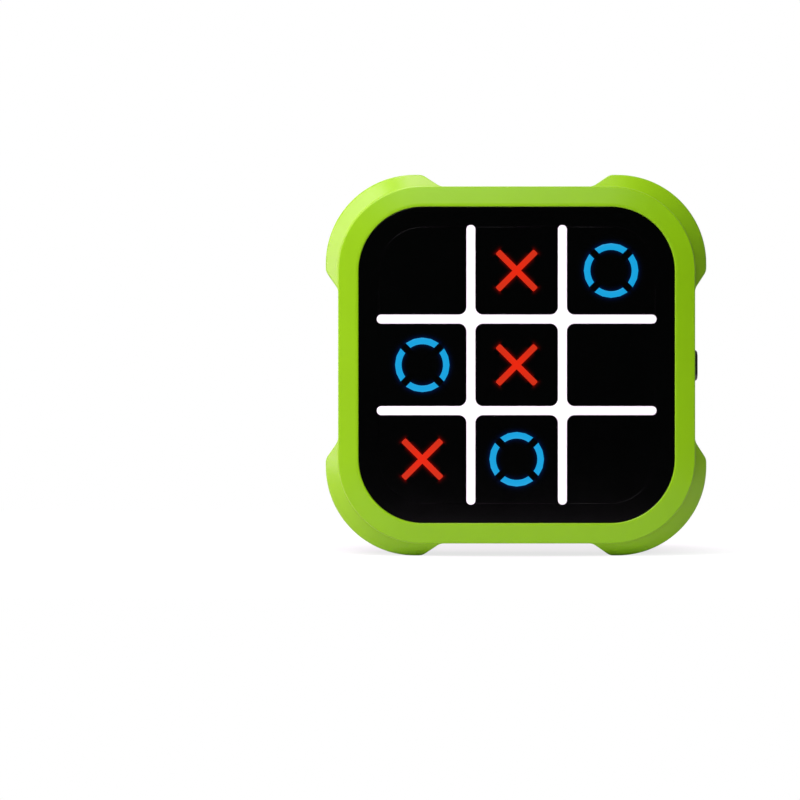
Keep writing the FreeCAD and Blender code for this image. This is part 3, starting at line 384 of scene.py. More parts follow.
def make_front_shell():
    """The shell's section, from the ring's inner edge over the bevel to the back and up the
    hollow, carried round the case. Each point is outline + offset x outward direction."""
    side = bumper_side()
    share = side[:, 0] / side[-1, 0]
    hollow = np.where(side[:, 0] < HOLLOW_END, OVERHANG, 0.0)
    case, case_out = (all_quarters(v) for v in outline(CASE_HALF, CASE_CORNER, share))
    hole, hole_out = (all_quarters(v) for v in outline(OPENING_HALF, OPENING_CORNER, share))
    ring = on_ring(case)

    def all_round(values):
        quarter = np.concatenate([values[::-1], np.full(len(ARC), OVERHANG), values])
        return np.tile(quarter[:-1], 4)

    bump, core = all_round(side[:, 1]), all_round(hollow)
    # Each row: outline, outward direction, offset, height, and the length its round takes.
    section = [
        (hole, hole_out, 0, RING_BACK, 0.05),
        (hole, hole_out, 0, FRONT, 0.3),
        (hole, hole_out, RING_LAND, FRONT, 0.3),
        (ring, case_out, 0, RING_EDGE, 0.7),
        (ring, case_out, 0, BEVEL_START, 0.25),
        (case, case_out, bump, BEVEL_START - bump, 0.55),
        (case, case_out, bump, 0, 0.5),
        (case, case_out, core - WALL, 0, 0.15),
        (case, case_out, core - WALL, HOLLOW_FRONT, 0.05),
        (case, case_out, -WALL, HOLLOW_FRONT, 0.05),
        (case, case_out, -WALL, RING_BACK, 0.05),
    ]
    corners, reaches = [], []
    for points, out, offset, level, reach in section:
        place = points + out * np.reshape(offset, (-1, 1))
        height = np.broadcast_to(np.reshape(level, (-1, 1)), (len(points), 1))
        corners.append(np.concatenate([place, height], axis=-1))
        reaches.append(reach)
    loops = rounded(np.array(corners), reaches, 6)
    skin = in_frame(loops[..., 0], loops[..., 1], loops[..., 2])
    parts = [(skin, grid_faces(*skin.shape[:2], True, True))]
    post_front = RING_BACK + 0.05
    post = [(0, HOLE_END), (HOLE_RADIUS, HOLE_END), (HOLE_RADIUS, POST_BACK)]
    post += [(POST_RADIUS, POST_BACK), (POST_RADIUS, post_front), (0, post_front)]
    parts += [standing(post, across, up, 32) for across, up in SCREW_PLACES]
    return add_piece(
        "front_shell_moulding", "front_shell", "case", "case_green", case_green, *joined(parts)
    )


def oval(half_length, half_width, steps=96):
    """An oval as two half circles and straight sides: points across and along."""
    angle = np.linspace(0, 2 * np.pi, steps + 1)[:-1]
    straight = half_length - half_width
    across = half_width * np.cos(angle)
    return across, half_width * np.sin(angle) + straight * np.sign(np.sin(angle) + 1e-9)


def cut_button_slot(piece):
    """The oval hole for the side button, through the right wall."""
    across, along = oval(BUTTON_HALF_LENGTH + BUTTON_GAP, BUTTON_HALF_WIDTH + BUTTON_GAP)
    inside_wall, outside_wall = 41.0, 46.5
    depth = np.array([[inside_wall], [outside_wall]])
    points = np.broadcast_arrays(depth, across, CASE_MIDDLE + along)
    points = np.stack(points, axis=-1).reshape(-1, 3) * MM
    mesh = bpy.data.meshes.new("slot")
    mesh.from_pydata(points.tolist(), [], capped_faces(2, len(across)))
    cutter = bpy.data.objects.new("slot", mesh)
    bpy.context.scene.collection.objects.link(cutter)
    hole = piece.modifiers.new("slot", "BOOLEAN")
    hole.operation, hole.solver, hole.object = "DIFFERENCE", "EXACT", cutter
    piece.modifiers.move(len(piece.modifiers) - 1, 0)
    with bpy.context.temp_override(object=piece, active_object=piece):
        bpy.ops.object.modifier_apply(modifier="slot")
    bpy.data.objects.remove(cutter)


cut_button_slot(make_front_shell())


# ---- fascia ------------------------------------------------------------------------------
# The black plate inside the ring, moulded in smoked plastic and polished. It is screwed to
# the board from behind and frames the nine keys.

FACE_HEIGHT = 26.9
FACE_EASE = 0.06


def smoked_plastic(name):
    """Nearly black, smooth and glossy."""
    color = (0.0006, 0.0008, 0.0007)
    return plastic(name, color, 0.14, grain=0.015, clouds=0.1, spread=0.06, specular=0.1)


smoked_black = smoked_plastic("smoked_black")


def eased(name, node_name, body, material, width, picked, shaping=None):
    """A copy of a node's solid with its loose triangles joined. The sharp edges that
    picked(middle) accepts are rounded over by width, as a mould leaves them, and middle is
    the edge's middle in mm. shaping(work) may change the copy first."""
    mesh = nodes[node_name].data.copy()
    mesh.name = name
    # The normals that came with the solid don't fit its rounded edges.
    if "custom_normal" in mesh.attributes:
        mesh.attributes.remove(mesh.attributes["custom_normal"])
    work = bmesh.new()
    work.from_mesh(mesh)
    bmesh.ops.remove_doubles(work, verts=work.verts, dist=1e-6)
    bmesh.ops.dissolve_limit(
        work, angle_limit=np.radians(0.5), verts=work.verts, edges=work.edges
    )
    if shaping:
        shaping(work)
    chosen = [
        edge
        for edge in work.edges
        if len(edge.link_faces) == 2
        and edge.calc_face_angle() > np.radians(35)
        and picked(np.array((edge.verts[0].co + edge.verts[1].co) / 2) / MM)
    ]
    bmesh.ops.bevel(
        work,
        geom=chosen,
        offset=width * MM,
        segments=3,
        profile=0.5,
        affect="EDGES",
        clamp_overlap=True,
    )
    work.to_mesh(mesh)
    work.free()
    return finish_piece(name, node_name, body, material, mesh, 32)


def at_face(middle):
    """Whether an edge lies in the plane of the fascia and the keys."""
    return abs(CASE_BACK - middle[1] - FACE_HEIGHT) < 0.02


eased("fascia_plate", "fascia", "case", smoked_black, FACE_EASE, at_face)


# ---- grid inlay --------------------------------------------------------------------------
# The white # between the keys: one thin moulding with round ends and filleted crossings,
# pressed into grooves of the fascia.

grid_white = plastic("grid_white", (0.93, 0.93, 0.94), 0.3, grain=0.02, clouds=0.008)
eased("white_grid", "grid_inlay", "case", grid_white, 0.1, at_face)


# ---- keys --------------------------------------------------------------------------------
# Nine square caps in the same smoked plastic, each held by a lip behind the fascia. Where a
# lamp burns behind a mark, a little of its light leaks into the cap around it.


def middle_of(node_name):
    """The middle of a solid's box across the face, in mm."""
    low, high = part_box(node_name)
    return (low.x + high.x) / 2 / MM, (low.z + high.z) / 2 / MM


CELLS = {
    f"{row}_{column}": middle_of(f"{row}_{column}_x_window")
    for row in ("top", "middle", "bottom")
    for column in ("left", "centre", "right")
}
PITCH = CELLS["top_right"][0] - CELLS["top_centre"][0]
LIT = {
    "top_centre": "x",
    "top_right": "o",
    "middle_left": "o",
    "middle_centre": "x",
    "bottom_left": "x",
    "bottom_centre": "o",
}
# The X: half length of an arm and half its width. The O: radii and half of each gap.
X_ARM, X_HALF = 6.8, 0.76
O_INNER, O_OUTER, O_GAP = 5.26, 6.88, 0.95
MARKS_END = 7.6


def make_mark_group():
    """Distances in mm from a cell's X, from its O and from its middle, the same in all nine
    cells: a place is taken as the rest of its division by the cells' pitch."""
    group, _, result = new_group(
        "distance_from_marks",
        [],
        [
            ("From Cross", "NodeSocketFloat"),
            ("From Ring", "NodeSocketFloat"),
            ("From Middle", "NodeSocketFloat"),
        ],
    )
    place = node(group, "ShaderNodeTexCoord").outputs["Object"]
    parts = node(group, "ShaderNodeSeparateXYZ", {0: place}).outputs

    def from_cell_middle(position, middle):
        in_mm = maths(group, "MULTIPLY_ADD", position, 1 / MM, PITCH / 2 - middle)
        rest = maths(group, "FLOORED_MODULO", in_mm, PITCH)
        return maths(group, "SUBTRACT", rest, PITCH / 2)

    def diagonal(operation):
        both = maths(group, operation, x, z)
        return maths(group, "ABSOLUTE", maths(group, "MULTIPLY", both, 0.5**0.5))

    def length(a, b):
        squares = maths(group, "MULTIPLY_ADD", a, a, maths(group, "MULTIPLY", b, b))
        return maths(group, "SQRT", squares)

    def beyond(value, limit):
        return maths(group, "MAXIMUM", maths(group, "SUBTRACT", value, limit), 0.0)

    x, z = from_cell_middle(parts["X"], 0), from_cell_middle(parts["Z"], CASE_MIDDLE)
    rise, fall = diagonal("ADD"), diagonal("SUBTRACT")
    first = length(beyond(fall, X_HALF), beyond(rise, X_ARM))
    second = length(beyond(rise, X_HALF), beyond(fall, X_ARM))
    group.links.new(maths(group, "MINIMUM", first, second), result.inputs["From Cross"])
    radius = length(x, z)
    group.links.new(radius, result.inputs["From Middle"])
    off_centre = maths(group, "SUBTRACT", radius, (O_INNER + O_OUTER) / 2)
    across = beyond(maths(group, "ABSOLUTE", off_centre), (O_OUTER - O_INNER) / 2)
    along = maths(group, "SUBTRACT", O_GAP, maths(group, "MINIMUM", rise, fall))
    from_ring = length(across, maths(group, "MAXIMUM", along, 0.0))
    group.links.new(from_ring, result.inputs["From Ring"])
    return group


marks = make_mark_group()


def glowing_cap(name, glow, distance, spread):
    """The caps' plastic with a glow that fades as exp(-distance / spread) from a lit mark."""
    material = smoked_plastic(name)
    tree, shader = inside(material)
    near = node(tree, "ShaderNodeGroup", node_tree=marks).outputs[distance]
    fade = maths(tree, "EXPONENT", maths(tree, "DIVIDE", near, -spread))
    tint = node(tree, "ShaderNodeVectorMath", {0: glow, "Scale": fade}, operation="SCALE")
    tree.links.new(tint.outputs[0], shader.inputs["Emission Color"])
    shader.inputs["Emission Strength"].default_value = 1.0
    return material


cap_finishes = {
    "x": glowing_cap("smoked_black_red_glow", (0.15, 0.001, 0.0), "From Cross", 0.23),
    "o": glowing_cap("smoked_black_blue_glow", (0.0, 0.009, 0.052), "From Ring", 0.33),
}


def outside_marks(cell):
    """Picks the edges of a cap's face, and leaves those of the pockets for its marks."""
    middle_x, middle_z = CELLS[cell]

    def picked(middle):
        reach = max(abs(middle[0] - middle_x), abs(middle[2] - middle_z))
        return at_face(middle) and reach > MARKS_END

    return picked


for cell in CELLS:
    finish = cap_finishes.get(LIT.get(cell), smoked_black)
    key, unit = f"{cell}_key", f"{cell}_key_unit"
    eased(f"{cell}_cap", key, unit, finish, FACE_EASE, outside_marks(cell))


# ---- X and O windows ---------------------------------------------------------------------
# Smoked translucent plastic, set flush in each cap. Dark, they look like the cap; a lamp
# behind turns the X red, brightest at its crossing, or the O blue.


def mixed(tree, share, first, second):
    """A colour between two others, from the first at a share of 0 to the second at 1."""
    inputs = {0: share, 6: first, 7: second}
    return node(tree, "ShaderNodeMix", inputs, data_type="RGBA").outputs[2]


def lit_window(name, base, light):
    """The windows' plastic with its own light."""
    material = plastic(name, base, 0.3, grain=0.02, specular=0.15)
    _, shader = inside(material)
    shader.inputs["Emission Color"].default_value = (*light, 1)
    shader.inputs["Emission Strength"].default_value = 1.0
    return material


def brighter_crossing(material, crossing, arm, reach):
    """The light goes from the crossing's colour to the arm's within a reach in mm."""
    tree, shader = inside(material)
    middle = node(tree, "ShaderNodeGroup", node_tree=marks).outputs["From Middle"]
    share = maths(tree, "DIVIDE", middle, reach, clamp=True)
    light = mixed(tree, share, (*crossing, 1), (*arm, 1))
    tree.links.new(light, shader.inputs["Emission Color"])


X_RED = (0.62, 0.026, 0.006)
x_lit = lit_window("x_window_lit", (0.03, 0.001, 0.0005), X_RED)
brighter_crossing(x_lit, (0.8, 0.018, 0.002), X_RED, 5.0)
o_lit = lit_window("o_window_lit", (0.001, 0.01, 0.025), (0.006, 0.35, 0.7))
WINDOW_BACK, WINDOW_MIDDLE, WINDOW_FRONT = 26.1, 26.5, 26.905
ARM_ROUND = 0.35


def dress(node_name, material):
    """Gives its material to a solid that keeps its own form."""
    solid = nodes[node_name]
    solid.data.materials.clear()
    solid.data.materials.append(material)


def tube_faces(rows, columns):
    """The skin of a closed section along an open path, and its two end caps."""
    start = [row * columns for row in range(rows)]
    end = [row * columns + columns - 1 for row in range(rows)]
    return grid_faces(rows, columns, True, False) + [start, end[::-1]]


def ring_segments(cell):
    """The O's four segments with ends parallel to the diagonals. A segment is a softened
    rectangle, radius by height, swept from the angle 45 deg + asin(gap/radius) to its
    mirror image; the four are turned by 90 degrees."""
    middle_x, middle_z = CELLS[cell]
    middle_up = middle_z - CASE_MIDDLE
    section = [[O_INNER, WINDOW_BACK], [O_OUTER, WINDOW_BACK]]
    section += [[O_OUTER, WINDOW_FRONT], [O_INNER, WINDOW_FRONT]]
    back_round, front_round = 0.02, 0.06
    loop = rounded(np.array(section), [back_round] * 2 + [front_round] * 2, 3)
    radius, height = loop[:, :1], loop[:, 1:]
    start = np.pi / 4 + np.arcsin(O_GAP / radius)
    along = np.linspace(0, 1, 25)
    parts = []
    for quarter in range(4):
        angle = start + along * (np.pi - 2 * start) + quarter * np.pi / 2
        across, up = middle_x + radius * np.cos(angle), middle_up + radius * np.sin(angle)
        parts.append((in_frame(across, up, height), tube_faces(*angle.shape)))
    return joined(parts)


def at_arm_ends(cell):
    """Picks the upright corners of an X's four ends, and not those of its crossing."""
    middle_x, middle_z = CELLS[cell]
    crossing_reach = 4

    def picked(middle):
        reach = np.hypot(middle[0] - middle_x, middle[2] - middle_z)
        return reach > crossing_reach and abs(CASE_BACK - middle[1] - WINDOW_MIDDLE) < 0.3

    return picked


for cell in CELLS:
    unit = f"{cell}_key_unit"
    x_window, o_window = f"{cell}_x_window", f"{cell}_o_window"
    if LIT.get(cell) == "x":
        eased(f"{cell}_x_bars", x_window, unit, x_lit, ARM_ROUND, at_arm_ends(cell))
    else:
        dress(x_window, smoked_black)
    if LIT.get(cell) == "o":
        segments = ring_segments(cell)
        add_piece(f"{cell}_o_segments", o_window, unit, "o_window", o_lit, *segments)
    else:
        dress(o_window, smoked_black)


# ---- side button -------------------------------------------------------------------------
# An oval push button in polished black plastic on the right wall. Its face is slightly
# domed, and a lip inside the wall keeps it in.

button_black = plastic("button_black", (0.004, 0.0045, 0.004), 0.18, grain=0.01, clouds=0.05)


def make_side_button():
    """An oval carried outwards: rings that shrink towards its middle line, while the height
    follows a quarter ellipse at the rim and then a shallow dome."""
    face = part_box("side_button")[1].x / MM
    seat, rim_round, dome = 42.15, 0.75, 0.12
    across, along = oval(BUTTON_HALF_LENGTH, BUTTON_HALF_WIDTH)
    ends = (BUTTON_HALF_LENGTH - BUTTON_HALF_WIDTH) * np.sign(along)
    rim = np.linspace(0, np.pi / 2, 9)
    dome_inset, dome_height = [1.2, 1.6], [face - 0.04, face - 0.01]
    inset = np.concatenate([[0.0], rim_round * (1 - np.cos(rim)), dome_inset])
    rim_height = face - dome - rim_round * (1 - np.sin(rim))
    height = np.concatenate([[seat], rim_height, dome_height])
    shrink = (1 - inset / BUTTON_HALF_WIDTH)[:, None]
    y, z = across * shrink, ends + (along - ends) * shrink
    points = np.stack([height[:, None] + 0 * y, y, CASE_MIDDLE + z], axis=-1) * MM
    unit, faces = "side_button_unit", capped_faces(*y.shape)
    add_piece(
        "side_button_cap", "side_button", unit, "button_black", button_black, points, faces
    )


make_side_button()


# ---- rear cover --------------------------------------------------------------------------
# The case's back in the same green plastic: a flat lid inside the side walls and bumpers,
# with the battery bay, the speaker grille and four deep recesses for the screws that hold it.

# The recesses are octagons in the solid: the radius of the circle through their corners.
RECESS = 2.45 / np.cos(np.pi / 8)
RECESS_FRONT = 10.5
BACK_EASE = 0.25


def at_back(middle):
    """Whether an edge lies in the plane of the back."""
    return abs(middle[1] - CASE_BACK) < 0.02


def round_recesses(work):
    """Cuts the sides of the octagonal screw recesses and moves the new corners out to the
    circle through the old ones. The middle of a side is at 0.92 of that circle's radius."""
    side_start = 0.91 * RECESS
    for across, up in SCREW_PLACES:

        def away(vertex):
            return np.hypot(vertex.co.x / MM - across, vertex.co.z / MM - CASE_MIDDLE - up)

        rim = [
            edge
            for edge in work.edges
            if all(abs(away(vertex) - RECESS) < 0.02 for vertex in edge.verts)
            and abs(edge.verts[0].co.y - edge.verts[1].co.y) < 1e-6
        ]
        bmesh.ops.subdivide_edges(work, edges=rim, cuts=4, use_grid_fill=True)
        middle = Vector((across * MM, 0, (CASE_MIDDLE + up) * MM))
        for vertex in work.verts:
            reach = away(vertex)
            if side_start < reach < RECESS and vertex.co.y > RECESS_FRONT * MM:
                grown = (vertex.co - middle) * RECESS / reach
                vertex.co.x, vertex.co.z = middle.x + grown.x, middle.z + grown.z


eased(
    "rear_cover_moulding",
    "rear_cover",
    "case",
    case_green,
    BACK_EASE,
    at_back,
    round_recesses,
)


# ---- battery door ------------------------------------------------------------------------
# A flat lid over the battery bay in the same green plastic, held by two tongues at one end
# and a screw at the other.

eased(
    "battery_door_lid",
    "battery_door",
    "battery_door_unit",
    case_green,
    BACK_EASE,
    at_back,
)


# ---- screws ------------------------------------------------------------------------------
# Zinc-plated steel: pan heads with a cross recess and rolled threads. Four hold the case
# together, one the battery door and four the circuit board.


def metal(name, color, roughness):
    """A bare metal with the plastics' texture, more unevenly polished."""
    material = plastic(name, color, roughness, grain=0.05, clouds=0.06, spread=0.15, size=900.0)
    inside(material)[1].inputs["Metallic"].default_value = 1.0
    return material


screw_steel = metal("screw_steel", (0.55, 0.55, 0.53), 0.32)
THREAD_PITCH = 0.8
BAY_UP = -14.5
BOARD_BACK = 17.9
BOARD_SCREW_PLACES = at_corners(38.6, 11.6)


def screw(across, up, seat, head, head_height, shank, length):
    """A head h = seat - H sqrt(1 - (r/R)^4) with a cross sunk in, then a shank of radius
    r = R - d (1 + cos(2 pi h / pitch - a)) / 2 that tapers at its tip."""
    steps = 96
    angle = np.linspace(0, 2 * np.pi, steps + 1)[None, :-1]
    share = np.linspace(0, 1, 26)[:, None] ** 0.8
    radius = head * share + 0 * angle
    x, y = np.abs(radius * np.cos(angle)), np.abs(radius * np.sin(angle))
    narrow, reach = np.minimum(x, y), np.maximum(x, y)
    half_width, arm, side_slope, end_slope = 0.17 * head, 0.56 * head, 0.06 * head, 0.2 * head
    cross = np.clip((half_width - narrow) / side_slope, 0, 1)
    cross = cross * np.clip((arm - reach) / end_slope, 0, 1)
    cross_depth = 0.62 * head_height * cross
    height = seat - head_height * np.sqrt(1 - share**4) + cross_depth
    along = np.linspace(0, 1, int(length / THREAD_PITCH * 8))[:, None]
    run_in = np.minimum(1, 12 * along)
    thread = 0.4 * shank * run_in
    depth = thread * (1 + np.cos(2 * np.pi * along * length / THREAD_PITCH - angle)) / 2
    tip = 0.88
    taper = np.where(along > tip, 1 - (along - tip) / (1 - tip) * 0.75, 1.0)
    radius = np.concatenate([radius, (shank - depth) * taper, 0 * angle])
    shank_height = seat + length * along + 0 * angle
    height = np.concatenate([height, shank_height, seat + length + 0 * angle])
    points = in_frame(across + radius * np.cos(angle), up + radius * np.sin(angle), height)
    return points, grid_faces(len(radius), steps, False, True)


def add_screws(name, node_name, body, places, **sizes):
    """Like screws as one piece. The sizes are those of screw()."""
    points, faces = joined([screw(*place, **sizes) for place in places])
    add_piece(name, node_name, body, "screw_steel", screw_steel, points, faces)


add_screws(
    "case_screw_set",
    "case_screws",
    "case",
    SCREW_PLACES,
    seat=2.6,
    head=2.2,
    head_height=1.5,
    shank=1.1,
    length=9.0,
)
add_screws(
    "door_screw",
    "battery_door_screw",
    "battery_door_unit",
    [(29.35, BAY_UP)],
    seat=0.9,
    head=1.9,
    head_height=0.7,
    shank=1.0,
    length=6.0,
)
add_screws(
    "board_screw_set",
    "board_screws",
    "case",
    BOARD_SCREW_PLACES,
    seat=BOARD_BACK,
    head=1.7,
    head_height=1.1,
    shank=0.8,
    length=4.6,
)


# ---- light baffle and plungers -----------------------------------------------------------
# Matt white plastic behind the keys: chambers that keep the red and the blue light apart,
# and the pins that pass a press on to the switches.

inner_white = plastic("inner_white", (0.78, 0.78, 0.76), 0.55, grain=0.2)
dress("light_baffle", inner_white)
dress("side_switch_plunger", inner_white)
for cell in CELLS:
    dress(f"{cell}_plunger", inner_white)


# ---- circuit board -----------------------------------------------------------------------
# A glass-fibre board under green mask, held by four screws. The copper tracks beneath the
# mask show as lighter lines with square turns.


def painted(material, share, color):
    """Lays a second colour over a material's own where the share is 1."""
    tree, shader = inside(material)
    own = shader.inputs["Base Color"].links[0].from_socket
    tree.links.new(mixed(tree, share, own, (*color, 1)), shader.inputs["Base Color"])


def board_material():
    """Tracks lie where the rings around the points of a square pattern pass their middle."""
    material = plastic("board_green", (0.005, 0.07, 0.02), 0.28, grain=0.03)
    tree, _ = inside(material)
    place = node(tree, "ShaderNodeTexCoord").outputs["Object"]
    squares = {"Vector": place, "Scale": 130.0}
    maze = node(tree, "ShaderNodeTexVoronoi", squares, distance="MANHATTAN")
    rings = maths(tree, "FRACT", maths(tree, "MULTIPLY", maze.outputs["Distance"], 4.0))
    from_middle = maths(tree, "ABSOLUTE", maths(tree, "SUBTRACT", rings, 0.5))
    painted(material, maths(tree, "LESS_THAN", from_middle, 0.13), (0.02, 0.17, 0.05))
    return material


dress("circuit_board", board_material())


# ---- parts on the board ------------------------------------------------------------------
# Tin-coated key switches, a black side switch, clear red and blue diodes, all soldered on,
# and a glossy drop of black resin cast over the chip.

dress("key_switches", metal("switch_metal", (0.6, 0.6, 0.58), 0.35))
dress("side_switch", plastic("switch_black", (0.012, 0.012, 0.013), 0.5))
dress("red_diodes", plastic("diode_red", (0.55, 0.02, 0.015), 0.15, clouds=0.01))
dress("blue_diodes", plastic("diode_blue", (0.03, 0.12, 0.6), 0.15, clouds=0.01))


def make_chip():
    """A drop of resin: h = H sqrt(1 - (r/R)^2.4), over its round foot."""
    chip_radius, chip_height, across, up = 5, 1.2, -24.0, 22.0
    share = np.linspace(0, 1, 24)
    drop_height = BOARD_BACK - chip_height * np.sqrt(1 - share**2.4)
    drop = np.stack([chip_radius * share, drop_height], axis=-1)
    drop = standing(np.concatenate([drop, [[0, BOARD_BACK]]]), across, up)
    resin = plastic("chip_black", (0.006, 0.006, 0.007), 0.12, clouds=0.1)
    add_piece("chip_drop", "controller_chip", "case", "chip_black", resin, *drop)


make_chip()


# ---- speaker -----------------------------------------------------------------------------
# A small loudspeaker behind the grille, in a collar of the rear cover: black paper cone with
# a dust cap and a soft rolled surround, in a pressed steel basket with its magnet.

SPEAKER_UP = 21.8
# Past this reach from the middle, or this height above the back, the speaker is steel.
PAPER_REACH, PAPER_HEIGHT = 12.15, 3.55


def mark_points(piece, name, of_place):
    """Stores a value for the material on every point, worked out from its place in mm."""
    mesh = piece.data
    places = np.zeros(len(mesh.vertices) * 3)
    mesh.vertices.foreach_get("co", places)
    layer = mesh.attributes.new(name, "FLOAT", "POINT")
    values = of_place(places.reshape(-1, 3) / MM)
    layer.data.foreach_set("value", np.asarray(values, dtype=np.float32))


def marked(tree, name):
    """The value that mark_points stored."""
    return node(tree, "ShaderNodeAttribute", attribute_name=name).outputs["Fac"]


def steel_where_marked(material, color):
    """Turns to bare steel on the points that are marked steel."""
    tree, shader = inside(material)
    steel = marked(tree, "steel")
    painted(material, steel, color)
    tree.links.new(steel, shader.inputs["Metallic"])


def make_speaker():
    """Turned from the dust cap over cone, surround and rim to the basket and magnet."""
    share, roll = np.linspace(0, 1, 9), np.linspace(0, np.pi, 9)
    dust_cap = np.stack([3.6 * share, 3.4 - 0.9 * np.sqrt(1 - share**2)], axis=-1)
    cone = [[3.8, 3.5], [9.6, 2.5]]
    surround = np.stack([10.8 - 1.1 * np.cos(roll), 2.5 - 0.42 * np.sin(roll)], axis=-1)
    rim = [[12.1, 2.5], [12.2, 2.05], [13.8, 2.05], [13.95, 2.2], [13.95, 3.1], [11.2, 3.2]]
    basket = [[10.8, 3.4], [9.4, 5.1], [7.0, 5.2]]
    magnet = [[7.0, 7.1], [6.8, 7.35], [0, 7.35]]
    profile = np.concatenate([dust_cap, cone, surround, rim, basket, magnet])
    paper = plastic("speaker_black", (0.01, 0.01, 0.011), 0.6, grain=0.3, size=900.0)
    steel_where_marked(paper, (0.5, 0.5, 0.49))
    points, faces = standing(profile, 0, SPEAKER_UP)
    piece = add_piece(
        "speaker_unit", "speaker", "case", "inner_black", paper, points, faces, sharp=28
    )

    def is_steel(places):
        reach = np.hypot(places[:, 0], places[:, 2] - CASE_MIDDLE - SPEAKER_UP)
        return (reach > PAPER_REACH) | (CASE_BACK - places[:, 1] > PAPER_HEIGHT)

    mark_points(piece, "steel", is_steel)


make_speaker()


# ---- battery cells -----------------------------------------------------------------------
# Three plain AAA cells, the middle one turned about, each held between two contacts: a steel
# can in a dark wrap with a pale band at its plus end.

CELL_LENGTH, CELL_HEIGHT, CELL_PITCH = 44.5, 7.15, 10.8
BAY_END = 24.75
BATTERY_ROWS = [(BAY_UP + CELL_PITCH * row, way) for row, way in ((-1, 1), (0, -1), (1, 1))]
BAND_START, WRAP_OPENING = 33.0, 4.75


def cell_material():
    """The wrap's two colours along the cell, and bare steel at both ends."""
    material = plastic("cell_wrap", (0.03, 0.035, 0.045), 0.3, grain=0.03)
    tree, _ = inside(material)
    band = maths(tree, "GREATER_THAN", marked(tree, "along"), BAND_START)
    painted(material, band, (0.55, 0.56, 0.58))
    steel_where_marked(material, (0.62, 0.62, 0.6))
    return material


def along_bay(shape, row, way, start):
    """A turned form laid along the battery bay, about a row's middle line."""
    return in_frame(way * (start + shape[2]), row + shape[0], CELL_HEIGHT + shape[1])


def make_cells():
    """Each cell is turned from its base over the wrap to the nub."""
    profile = [(0, 0.15), (3.5, 0.15), (3.8, 0.02), (4.7, 0.02)]
    profile += [(4.8, 0.1), (5.1, 0.1), (5.23, 0.25), (5.23, 43.0), (5.1, 43.25), (4.7, 43.3)]
    profile += [(4.5, 43.55), (2.4, 43.58), (1.95, 43.6), (1.85, 44.3), (1.65, 44.48)]
    shape, faces = turned([*profile, (0, 44.48)], 96)
    start = BAY_END - CELL_LENGTH
    parts = [(along_bay(shape, row, way, start), faces) for row, way in BATTERY_ROWS]
    wrap = cell_material()
    piece = add_piece("cells", "battery_cells", "case", "cell_wrap", wrap, *joined(parts))

    def row_of(places):
        return np.round((places[:, 2] - CASE_MIDDLE - BAY_UP) / CELL_PITCH)

    def along_cell(places):
        return np.where(row_of(places) == 0, -1, 1) * places[:, 0] - start

    def is_steel(places):
        from_middle = places[:, 2] - CASE_MIDDLE - BAY_UP - CELL_PITCH * row_of(places)
        return np.hypot(from_middle, CASE_BACK - places[:, 1] - CELL_HEIGHT) < WRAP_OPENING

    mark_points(piece, "along", along_cell)
    mark_points(piece, "steel", is_steel)


make_cells()


# ---- battery contacts --------------------------------------------------------------------
# Nickel-plated spring steel: a plate at each end of a cell, slid into the bay's end wall, with
# a tapering coil spring at the flat end.

contact_nickel = metal("contact_nickel", (0.6, 0.57, 0.52), 0.25)
dress("contact_plates", contact_nickel)


def spring_coil(row, way):
    """A wire along a helix whose radius narrows: the wire's ring is spanned by the outward
    direction and the axis."""
    wire, coils, foot_radius, narrowing, foot, rise = 0.33, 5, 2.2, 0.5, 0.35, 4.3
    share = np.linspace(0, 1, 181)[None, :]
    ring = np.linspace(0, 2 * np.pi, 11)[:-1, None]
    angle = 2 * np.pi * coils * share
    radius = foot_radius - narrowing * share + wire * np.cos(ring)
    height = foot + rise * share + wire * np.sin(ring)
    shape = (radius * np.cos(angle), radius * np.sin(angle), height)
    return along_bay(shape, row, way, -BAY_END), tube_faces(*radius.shape)


def spring_plate(row, way):
    """The square plate that the spring is fixed to."""
    plate_half, plate_corner, thickness = 3.95, 0.6, 0.4
    corners = np.array(at_corners(plate_half, plate_half))
    loop = rounded(corners, [plate_corner] * 4, 5)
    height = np.array([[0.02], [thickness - 0.02]])
    shape = np.broadcast_arrays(loop[:, 0], loop[:, 1], height)
    return along_bay(shape, row, way, -BAY_END - thickness), capped_faces(2, len(loop))


def make_springs():
    """The three springs, each on its plate, as one piece."""
    parts = [make(*place) for place in BATTERY_ROWS for make in (spring_plate, spring_coil)]
    slot = "contact_nickel"
    add_piece("springs", "contact_springs", "case", slot, contact_nickel, *joined(parts))


make_springs()


# ---- floor and light ---------------------------------------------------------------------
# A small white table. The key light stands at the upper left, with a weak fill from the
# left, a sheen for the ring's top and three strips that graze the bevels from left and above.


